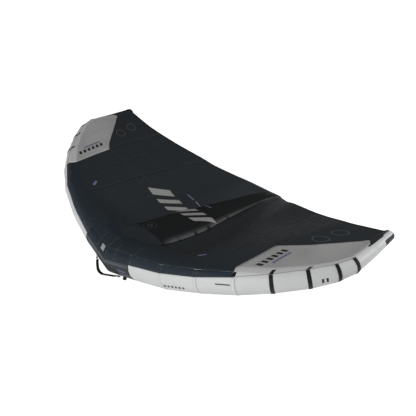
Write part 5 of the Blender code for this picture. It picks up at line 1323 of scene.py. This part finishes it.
def rounded_path(corners, radius, steps=8):
    """Path through corners with each bend rounded."""
    path = [corners[0]]
    for before, corner, after in zip(corners, corners[1:], corners[2:]):
        reach = min(radius, (corner - before).length / 2, (after - corner).length / 2)
        start = corner + (before - corner).normalized() * reach
        end = corner + (after - corner).normalized() * reach
        for k in range(steps + 1):
            t = k / steps
            place = start * (1 - t) ** 2 + corner * (2 * t * (1 - t)) + end * t ** 2
            if (place - path[-1]).length > GAP:
                path.append(place)
    return path + [corners[-1]]


def stepped(path, pitch):
    """Path with places added so none lie further apart than the pitch."""
    out = [path[0]]
    for place in path[1:]:
        count = max(1, math.ceil((place - out[-1]).length / pitch))
        start = out[-1]
        out += [start.lerp(place, (k + 1) / count) for k in range(count)]
    return out


def pipe_rings(path, radius, sides):
    rings, side = [], (path[1] - path[0]).normalized().orthogonal().normalized()
    for k, place in enumerate(path):
        along = heading(path, k).normalized()
        side = (side - along * side.dot(along)).normalized()
        up = along.cross(side)
        turns = [2 * math.pi * c / sides for c in range(sides)]
        size = radius[k] if isinstance(radius, list) else radius
        rings.append([place + side * (size * math.cos(t)) + up * (size * math.sin(t)) for t in turns])
    return rings


def fitting_matrix(place, outward, along):
    """Place of a fitting: Z outward, X along a given direction."""
    z = outward.normalized()
    x = (along - z * along.dot(z)).normalized()
    turn = Matrix((x, z.cross(x), z)).transposed().to_4x4()
    return Matrix.Translation(place + ORIGIN) @ turn


def hard_piece(name, matrix, material):
    """Finish the active solid: put it in place and round off its shading."""
    piece = bpy.context.object
    piece.name = name
    piece.data.name = name
    piece.data.transform(matrix)
    piece.data.materials.append(material)
    use_only(piece)
    bpy.ops.object.shade_smooth_by_angle(angle=math.radians(30))
    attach(piece, "wing")
    return piece


def select_faces(test):
    """In edit mode, select the faces whose centre and normal pass a test."""
    bm = bmesh.from_edit_mesh(bpy.context.object.data)
    for face in bm.faces:
        face.select_set(bool(test(face.calc_center_median(), face.normal)))
    bm.select_flush_mode()
    bmesh.update_edit_mesh(bpy.context.object.data)


def block(size, bevel, centre):
    """Box of a size with rounded edges, ready to be put in place."""
    bpy.ops.mesh.primitive_cube_add(size=1)
    bpy.context.object.data.transform(Matrix.Translation(centre) @ Matrix.Diagonal((*size, 1)))
    bpy.ops.object.mode_set(mode="EDIT")
    bpy.ops.mesh.select_all(action="SELECT")
    bpy.ops.mesh.bevel(offset=bevel, segments=3, affect="EDGES")
    bpy.ops.object.mode_set(mode="OBJECT")


def screw(name, place, outward, along):
    """Pan-head screw with a hexagonal recess."""
    bpy.ops.mesh.primitive_cylinder_add(vertices=36, radius=SCREW_RADIUS, depth=SCREW_HEIGHT)
    bpy.context.object.data.transform(Matrix.Translation((0, 0, SCREW_HEIGHT / 2)))
    bpy.ops.object.mode_set(mode="EDIT")
    select_faces(lambda centre, normal: normal.z > 0.9)
    bpy.ops.mesh.bevel(offset=0.0006, segments=3, affect="EDGES")
    select_faces(lambda centre, normal: normal.z > 0.9 and abs(centre.x) < 1e-4 and abs(centre.y) < 1e-4)
    bpy.ops.mesh.inset(thickness=SCREW_RADIUS * 0.42)
    bpy.ops.mesh.extrude_region_move(TRANSFORM_OT_translate={"value": (0, 0, -0.0013)})
    bpy.ops.object.mode_set(mode="OBJECT")
    return hard_piece(name, fitting_matrix(place, outward, along), STEEL)


def turn_outward(piece, bridged=False):
    """Turn every face outward, after closing the gap between two open ends if asked."""
    use_only(piece)
    bpy.ops.object.mode_set(mode="EDIT")
    if bridged:
        bpy.ops.mesh.select_all(action="DESELECT")
        bpy.ops.mesh.select_non_manifold()
        bpy.ops.mesh.bridge_edge_loops()
    bpy.ops.mesh.select_all(action="SELECT")
    bpy.ops.mesh.normals_make_consistent(inside=False)
    bpy.ops.object.mode_set(mode="OBJECT")


def bored(pieces, place, outward, radius, depth):
    """Cut one round hole through several sheets."""
    bpy.ops.mesh.primitive_cylinder_add(vertices=48, radius=radius, depth=depth)
    cutter = bpy.context.object
    cutter.data.transform(fitting_matrix(place, outward, Vector((1, 0.3, 0.2))))
    for piece in pieces:
        apply_modifier(piece, "BOOLEAN", object=cutter, operation="DIFFERENCE", solver="EXACT")
    bpy.data.objects.remove(cutter)


# Nose handle, its patch, leash loop and tag

NOSE_ANCHOR_X, NOSE_ANCHOR_ANGLES, NOSE_ANCHOR_LIFT = 0.110, (-28, -46), 0.017
NOSE_HANDLE_DROP, NOSE_HANDLE_WIDTH = 0.108, 0.028
LEASH_ANGLE = -62


def station_of_x(x):
    return x / tube_centre(1).x


def nose_axis_point(side):
    return on_tube(station_of_x(NOSE_ANCHOR_X) * side, NOSE_ANCHOR_ANGLES[side > 0], NOSE_ANCHOR_LIFT)


def make_nose_handle():
    left, right = nose_axis_point(-1), nose_axis_point(1)
    axis, run = (right - left).normalized(), (right - left).length
    down = (DOWN - axis * DOWN.dot(axis)).normalized()
    drop = NOSE_HANDLE_DROP
    bends = ((0.015, 0.30), (0.10, 0.95), (0.30, 1.0), (0.86, 0.22))
    corners = [left - down * 0.001] + [left + axis * (run * x) + down * (drop * z) for x, z in bends]
    path = stepped(rounded_path(corners + [right - down * 0.001], drop * 0.42, 10), 0.006)
    rings = strap_rings(path, down.cross(axis), NOSE_HANDLE_WIDTH, 0.003)
    strap = rod_piece("nose_grab_handle", rings, WEBBING, body="nose_handle")
    stands_for("nose_handle_webbing")
    reach = station_of_x(0.140)
    rows = []
    for s in spread(-reach, reach, 0.04):
        t = (s / reach + 1) / 2
        middle = NOSE_ANCHOR_ANGLES[0] + (NOSE_ANCHOR_ANGLES[1] - NOSE_ANCHOR_ANGLES[0]) * t
        corner = max(0.0, abs(s) / reach - 0.9) * 25
        rows.append([on_tube(s, middle + a, 0.0016) for a in np.linspace(-9 + corner, 24 - corner, 22)])
    patch = [grid_piece("nose_patch_base", rows, BLACK_CLOTH, core=tube_core(0), thickness=0.001)]
    for side, place in ((-1, left), (1, right)):
        angle = NOSE_ANCHOR_ANGLES[side > 0]
        s = station_of_x(NOSE_ANCHOR_X + 0.004) * side
        across = tube_out(s, angle).cross(axis).normalized()
        top = place + axis * (side * 0.0073)
        foot = on_tube(s, angle, 0.0012)
        path = [foot + axis * (side * 0.026), foot + axis * (side * 0.018),
                foot.lerp(top, 0.45) + axis * (side * 0.010), top + axis * (side * 0.002)]
        path = stepped(rounded_path(path, 0.008, 6), 0.004)
        patch.append(rod_piece("nose_tab", strap_rings(path, across, 0.030, 0.0028), WEBBING))
    patch = join_pieces("nose_patch", patch)
    stands_for("nose_handle_patch")


def make_loop(name, node, foot, outward, along, size):
    """Small loop of webbing sewn on a surface, with its stitching."""
    span, height, width, cloth = size
    across = outward.cross(along).normalized()
    reach, low = span / 2, cloth / 2 + GAP
    half = ((reach, low), (reach / 2, low), (reach * 0.55, height))
    corners = [foot + along * x + outward * z for x, z in half + tuple((-x, z) for x, z in reversed(half))]
    path = stepped(rounded_path(corners, height * 0.4), 0.003)
    loop = rod_piece(name, strap_rings(path, across, width, cloth), WEBBING)
    stands_for(node)
    bars = []
    for end in (-1, 1):
        place = foot + along * (end * span * 0.40) + outward * (cloth + GAP + 0.0003)
        for k in (-1, 0, 1):
            row = place + across * (width * 0.3 * k)
            path = stepped([row - along * 0.004, row + along * 0.004], 0.002)
            bars.append(rod_piece("bartack", pipe_rings(path, 0.0006, 8), THREAD))
    join_pieces(name + "_stitches", bars)


def make_nose_fittings():
    make_nose_handle()
    s = station_of_x(0.150)
    outward = tube_out(s, LEASH_ANGLE)
    along = tube_direction(0)
    along = (along - outward * along.dot(outward)).normalized()
    make_loop("leash_strap", "leash_loop", on_tube(s, LEASH_ANGLE, 0.0002), outward, along,
              (0.034, 0.026, 0.025, 0.0025))
    stations = spread(-0.258, -0.102, 0.02)
    rows = [[on_tube(s, angle, 0.0019) for angle in spread(21.3, 37.7, 1.4)] for s in stations]
    tag = grid_piece("blank_tag", rows, TAG_CLOTH, core=tube_core(-0.18), thickness=0.0012)
    stands_for("label_tag")
    stretched_sheet(tag)
    stitches = [tube_line("tag_stitches", [(s, 22), (s, 37)], 0.0016, THREAD, lift=0.0021, steps=10)
                for s in (-0.252, -0.108)]
    join_pieces("tag_stitching", stitches)


make_nose_fittings()


# Zip under the nose

ZIP_ANGLE, ZIP_LIFT = -112, 0.0018
# Section of a tooth: across the zip and outward
TOOTH = ((-0.0014, 0), (0.0014, 0), (0.00112, 0.0011), (-0.00112, 0.0011))


def make_zip():
    stations = spread(0.18, 0.92, 0.03)
    rows = [[on_tube(s, angle, ZIP_LIFT) for angle in spread(-116.5, -107.5, 0.75)] for s in stations]
    tape = [grid_piece("zip_band", rows, BLACK_CLOTH, core=tube_core(0.5), thickness=0.0011)]
    points, faces = [], []
    for k in range(118):
        s = 0.205 + 0.0059 * k
        middle, outward = on_tube(s, ZIP_ANGLE, ZIP_LIFT), tube_out(s, ZIP_ANGLE)
        along = (on_tube(s + 0.01, ZIP_ANGLE) - middle).normalized()
        across = outward.cross(along)
        for side in (-1, 1):
            centre = middle + across * (side * 0.0011)
            base = len(points)
            points += [centre + along * x + across * y + outward * z
                       for x in (-0.0007, 0.0007) for y, z in TOOTH]
            faces += [[base + i for i in face] for face in
                      ((0, 1, 2, 3), (7, 6, 5, 4), (0, 4, 5, 1), (1, 5, 6, 2), (2, 6, 7, 3), (3, 7, 4, 0))]
    teeth = mesh_piece("zip_teeth", points, faces, GREY_PLASTIC)
    turn_outward(teeth)
    bpy.ops.object.shade_flat()
    for angle in (-115.6, -108.4):
        tape.append(tube_line("zip_stitches", [(0.19, angle), (0.91, angle)], 0.0016, THREAD, lift=0.0020))
    tape = join_pieces("zip_tape", tape)
    stands_for("bladder_zip_tape")


make_zip()


# Hose between the tube and the strut

PORT_FLANGE, PORT_BARB = 0.003, 0.012
HOSE_RADIUS, HOSE_STEPS = 0.008, 56


def make_hose():
    s = station_of_x(0.185)
    foot, outward = on_tube(s, -172), tube_out(s, -172)
    share = 0.262
    port = Vector((strut_values(share)[3], share * ROOT_CHORD_LENGTH, strut_axis_height(share)))
    port_out = Vector((1, 0, 0))
    root = 2 * GAP + PORT_FLANGE
    straight = root + PORT_BARB + GAP
    start, end = foot + outward * straight, port + port_out * straight
    reach = (end - start).length * 0.5
    near, far = start + outward * reach, end + port_out * reach
    path = [foot + outward * root, foot + outward * (root + 0.006)]
    for t in (k / HOSE_STEPS for k in range(HOSE_STEPS + 1)):
        a, b, c, d = (1 - t) ** 3, 3 * t * (1 - t) ** 2, 3 * t ** 2 * (1 - t), t ** 3
        path.append(start * a + near * b + far * c + end * d)
    path += [port + port_out * (root + 0.006), port + port_out * root]
    rings = pipe_rings(path, HOSE_RADIUS, 28)
    hose = grid_piece("air_hose", rings, HOSE_RUBBER, wrap=True, core=path[len(path) // 2], thickness=0.0025)
    stands_for("one_pump_hose")


make_hose()


# Handles under the strut: inset of the feet and their height off the skin, and inset of the grip

FOOT_INSET, FOOT_LIFT, GRIP_INSET = 0.035, 0.0027, 0.042


def strut_bottom(y):
    share = y / ROOT_CHORD_LENGTH
    return strut_axis_height(share) - strut_values(share)[3]


def strut_patch_rows(start, end):
    rows = []
    for share in spread(start, end, 0.006):
        radius, y, height = strut_values(share)[3] + 0.0016, share * ROOT_CHORD_LENGTH, strut_axis_height(share)
        turns = [math.radians(a) for a in spread(-30, 30, 4)]
        rows.append([Vector((math.sin(t) * radius, y, height - math.cos(t) * radius)) for t in turns])
    return rows


def make_strut_handle(word, start, length):
    """Carbon bar on two screwed feet with a foam grip, over its own patch."""
    end = start + length
    front, rear = (Vector((0, y, strut_bottom(y))) for y in (start + FOOT_INSET, end - FOOT_INSET))
    along = (rear - front).normalized()
    down = Vector((0, along.z, -along.y))
    top, depth = FOOT_LIFT + 0.008, FOOT_LIFT + 0.078
    corners = [front + down * top, front + down * depth, rear + down * depth, rear + down * top]
    path = stepped(rounded_path(corners, 0.034, 14), 0.012)
    frame_parts = [rod_piece("handle_bar", pipe_rings(path, 0.0115, 32), CARBON)]
    for place in (front, rear):
        block((0.070, 0.050, 0.016), 0.0035, centre=(0, 0, 0.008))
        bpy.ops.object.mode_set(mode="EDIT")
        select_faces(lambda centre, normal: normal.z > 0.9)
        bpy.ops.mesh.inset(thickness=0.009)
        bpy.ops.mesh.extrude_region_move(TRANSFORM_OT_translate={"value": (0, 0, 0.004)})
        bpy.ops.transform.resize(value=(0.82, 0.82, 1))
        bpy.ops.object.mode_set(mode="OBJECT")
        matrix = fitting_matrix(place + down * FOOT_LIFT, down, along)
        frame_parts.append(hard_piece("handle_foot", matrix, BLACK_PLASTIC))
        for offset in (-0.027, 0.027):
            for x in (-0.017, 0.017):
                spot = place + down * (FOOT_LIFT + 0.0157) + along * offset + Vector((x, 0, 0))
                frame_parts.append(screw("foot_screw", spot, down, along))
    bar = join_pieces(f"{word}_handle_bar", frame_parts)
    stands_for(f"{word}_handle_frame")
    grip_start = front + down * depth + along * GRIP_INSET
    grip_end = rear + down * depth - along * GRIP_INSET
    run = (grip_end - grip_start).length
    places = spread(0, run, 0.0012)
    radii = [0.0159 - 0.0010 * (0.5 + 0.5 * math.cos(2 * math.pi * x / 0.0095)) ** 3
             - 0.003 * (max(0.0, 0.004 - min(x, run - x)) / 0.004) ** 2 for x in places]
    rings = pipe_rings([grip_start + along * x for x in places], radii, 40)
    grip = rod_piece(f"{word}_foam_grip", rings, GRIP_FOAM, closed=False)
    rings = pipe_rings([grip_start, grip_start.lerp(grip_end, 0.5), grip_end], 0.0118, 40)
    lining = rod_piece("grip_lining", rings, GRIP_FOAM, closed=False)
    lining.data.flip_normals()
    grip = join_pieces(f"{word}_foam_grip", [grip, lining])
    turn_outward(grip, bridged=True)
    stands_for(f"{word}_handle_grip")
    rows = strut_patch_rows((start - 0.020) / ROOT_CHORD_LENGTH, (end + 0.020) / ROOT_CHORD_LENGTH)
    core = Vector((0, start, strut_bottom(start) + 0.05))
    patch = grid_piece(f"{word}_strut_patch", rows, BLACK_CLOTH, core=core, thickness=0.0012)
    stands_for(f"{word}_handle_patch")
    stretched_sheet(patch)


def make_harness_loops():
    for word, y in (("front", 0.880), ("rear", 1.412)):
        reach = 0.015
        along = Vector((0, 2 * reach, strut_bottom(y + reach) - strut_bottom(y - reach))).normalized()
        foot = Vector((0, y, strut_bottom(y)))
        down = Vector((0, along.z, -along.y))
        make_loop(f"{word}_line_loop", f"{word}_harness_loop", foot + down * GAP, down, along,
                  (0.030, 0.022, 0.020, 0.0025))


make_strut_handle("front", 0.500, 0.330)
make_strut_handle("rear", 0.930, 0.440)
make_harness_loops()


# Valve, ports and clamp

def make_valve():
    foot, outward = on_tube(-0.80, -146), tube_out(-0.80, -146)
    bored([NOSE_SLEEVE, TUBE_BLADDER], foot, outward, 0.0187, 0.06)
    for name in ("valve_body", "valve_cap", "hose_port_tube", "hose_port_strut", "hose_clamp_lever"):
        dress(name, BLACK_PLASTIC)
    for name in ("valve_core", "hose_clamp_body", "bladder_zip_slider"):
        dress(name, GREY_PLASTIC)


def dress(name, material):
    """Give a carried-over part its better material."""
    node = bpy.data.objects[name]
    for slot in node.material_slots:
        slot.material = material


make_valve()


# Plain marks on the cloth

RING_STEPS, PRINT_LIFT, PRINT_FILM = 48, 0.0009, 0.0003


def quad_patch(corners, across, along):
    """Rows of top-view places that fill a four-sided outline."""
    a, b, c, d = (np.array(corner, float) for corner in corners)
    rows = []
    for i in range(along + 1):
        t = i / along
        start, end = a + (d - a) * t, b + (c - b) * t
        rows.append([start + (end - start) * (k / across) for k in range(across + 1)])
    return rows


def ring_patch(centre, radius, width, turn=0.0, stretch=1.0):
    """Rows of top-view places that fill a ring."""
    rows = []
    for k in range(RING_STEPS + 1):
        angle = 2 * math.pi * k / RING_STEPS
        row = []
        for r in (radius - width / 2, radius + width / 2):
            x, y = r * math.cos(angle), r * math.sin(angle) * stretch
            row.append((centre[0] + x * math.cos(turn) - y * math.sin(turn),
                        centre[1] + x * math.sin(turn) + y * math.cos(turn)))
        rows.append(row)
    return rows


def printed_mark(name, patches, material):
    """Thin print laid on the canopy from its top-view outline."""
    prints = []
    for rows in patches:
        places = [[dropped(x, y, PRINT_LIFT) for x, y in row] for row in rows]
        core = places[len(places) // 2][0] + DOWN * 0.5
        prints.append(grid_piece("print", places, material, core=core, thickness=PRINT_FILM))
    join_pieces(name, prints)


def tube_mark(name, spans, material):
    """Thin print on the tube from (station, angle) ranges."""
    prints = []
    for start, end, low, high in spans:
        stations = spread(start, end, 0.05, 5)
        rows = [[on_tube(s, angle, 0.0005) for angle in spread(low, high, 3)] for s in stations]
        core = tube_core((start + end) / 2)
        prints.append(grid_piece("print", rows, material, core=core, thickness=PRINT_FILM))
    join_pieces(name, prints)


def slanted_bars(start, end, depth, widths, gap):
    """Slanted bars in a row from start to end in the top view."""
    start, end, depth = (np.array(p, float) for p in (start, end, depth))
    total = sum(widths) + gap * (len(widths) - 1)
    bars, place = [], 0.0
    for width in widths:
        a = start + (end - start) * (place / total)
        b = start + (end - start) * ((place + width) / total)
        bars.append(quad_patch([a, b, b + depth, a + depth], across=max(4, int(width * 12)), along=10))
        place += width + gap
    return bars


GREY_PRINT = cloth_finish("grey_print", (0.310, 0.310, 0.300), 0.6, 0.0008, wear_and_flank_highlight=0.08, level=0.2)
LINE_PRINT = cloth_finish("line_print", (0.115, 0.120, 0.125), 0.6, 0.0008, wear_and_flank_highlight=0.08, level=0.2)
VIOLET_PRINT = cloth_finish("violet_print", (0.175, 0.155, 0.275), 0.6, 0.0008, wear_and_flank_highlight=0.08, level=0.2)
BLACK_PRINT = cloth_finish("black_print", (0.012, 0.012, 0.014), 0.55, 0.0008, wear_and_flank_highlight=0.1)


def sided(places, side):
    return [(x * side, y) for x, y in places]


def make_marks():
    bars = slanted_bars((-0.560, 0.835), (0.075, 0.885), (0.105, 0.190), (1.4, 1.0, 1.0, 1.0, 1.0, 1.4), 0.95)
    printed_mark("main_bars", bars, GREY_PRINT)
    dashes = [quad_patch([(x, y), (x + 0.085, y + 0.010), (x + 0.085, y + 0.024), (x, y + 0.014)], 8, 1)
              for x, y in ((-0.345, 1.150), (-0.235, 1.165), (-0.125, 1.180))]
    printed_mark("rear_dashes", dashes, VIOLET_PRINT)
    rings = [ring_patch((-0.063, 0.500), radius, width) for radius, width in ((0.058, 0.005), (0.020, 0.012))]
    printed_mark("strut_ring", rings, BADGE_PRINT)
    for word, side in SIDES:
        rings = [ring_patch(centre, 0.062, 0.0065, turn=math.radians(20 * side), stretch=0.72)
                 for centre in sided(((1.300, 1.020), (1.352, 1.185)), side)]
        printed_mark(f"tip_rings_{word}", rings, LINE_PRINT)
        bars = slanted_bars(*sided(((1.175, 0.470), (1.190, 0.735), (0.045, 0.012)), side), (1,) * 6, 0.8)
        printed_mark(f"patch_bars_{word}", bars, BLACK_PRINT)
        dash = sided(((1.245, 0.560), (1.262, 0.558), (1.270, 0.735), (1.253, 0.737)), side)
        short = sided(((0.715, 0.352), (0.735, 0.340), (0.775, 0.392), (0.755, 0.404)), side)
        printed_mark(f"violet_dashes_{word}", [quad_patch(dash, 2, 12), quad_patch(short, 3, 5)], VIOLET_PRINT)
        spans = [(s * side, (s + 0.055) * side, -31, -22) for s in np.arange(2.10, 2.72, 0.105)]
        tube_mark(f"front_bars_{word}", spans, BLACK_PRINT)
        tube_mark(f"front_stripe_{word}", [(3.55 * side, 3.92 * side, 4, 9)], LINE_PRINT)
        spans = [(s * side, (s + 0.08) * side, -22, 2) for s in (6.42, 6.58)]
        tube_mark(f"outer_lozenge_{word}", spans, BLACK_PRINT)
    tube_mark("nose_dash", [(0.52, 0.84, -19, -14.5)], VIOLET_PRINT)


BADGE_PRINT = cloth_finish("badge_print", (0.045, 0.045, 0.047), 0.5, 0.0008, wear_and_flank_highlight=0.1)
make_marks()


# Studio: how brightly the paper shows itself, and the light of the room

PAPER_GLOW, ROOM_LIGHT = 0.85, 0.22


def make_studio():
    bpy.ops.mesh.primitive_plane_add(size=60, location=(0, 0, 0))
    floor = bpy.context.object
    floor.name = "studio_floor"
    paper, shader = new_finish("studio_paper", 0.9)
    shader.inputs["Base Color"].default_value = grey(0.80)
    path = wire_up(paper, "ShaderNodeLightPath")
    seen = maths(paper, "ADD", path.outputs["Is Camera Ray"], path.outputs["Is Glossy Ray"])
    seen = maths(paper, "ADD", seen, path.outputs["Is Transmission Ray"], clamp=True)
    strength = maths(paper, "MULTIPLY", seen, PAPER_GLOW)
    glow = wire_up(paper, "ShaderNodeEmission", {"Color": grey(1.0), "Strength": strength})
    both = wire_up(paper, "ShaderNodeAddShader", {0: shader.outputs[0], 1: glow.outputs[0]})
    face = wire_up(paper, "ShaderNodeNewGeometry")
    clear = wire_up(paper, "ShaderNodeBsdfTransparent")
    one_sided = wire_up(paper, "ShaderNodeMixShader", {0: face.outputs["Backfacing"], 1: both.outputs[0],
                                                       2: clear.outputs[0]})
    link(paper, one_sided.outputs[0], paper.node_tree.nodes["Material Output"].inputs["Surface"])
    floor.data.materials.append(paper)
    world = bpy.data.worlds.new("studio_world")
    scene.world = world
    world.use_nodes = True
    path = wire_up(world, "ShaderNodeLightPath")
    seen = maths(world, "MAXIMUM", path.outputs["Is Camera Ray"], path.outputs["Is Transmission Ray"])
    strength = wire_up(world, "ShaderNodeMapRange", {0: seen, 3: ROOM_LIGHT, 4: 1.0})
    background = world.node_tree.nodes["Background"]
    background.inputs["Color"].default_value = grey(1.0)
    link(world, strength.outputs[0], background.inputs["Strength"])


def soft_lamp(name, place, target, size, power):
    data = bpy.data.lights.new(name, "AREA")
    data.shape = "DISK"
    data.size = size
    data.energy = power
    lamp = bpy.data.objects.new(name, data)
    scene.collection.objects.link(lamp)
    lamp.location = place
    lamp.rotation_euler = (Vector(target) - Vector(place)).to_track_quat("-Z", "Y").to_euler()


make_studio()
soft_lamp("key_light", (1.6, -6.4, 3.0), (0, 0, 0.2), 2.6, 212)
soft_lamp("side_light", (3.6, 3.4, 3.0), (-0.5, 0.2, 0.3), 1.8, 120)
scene.view_settings.view_transform = "Standard"
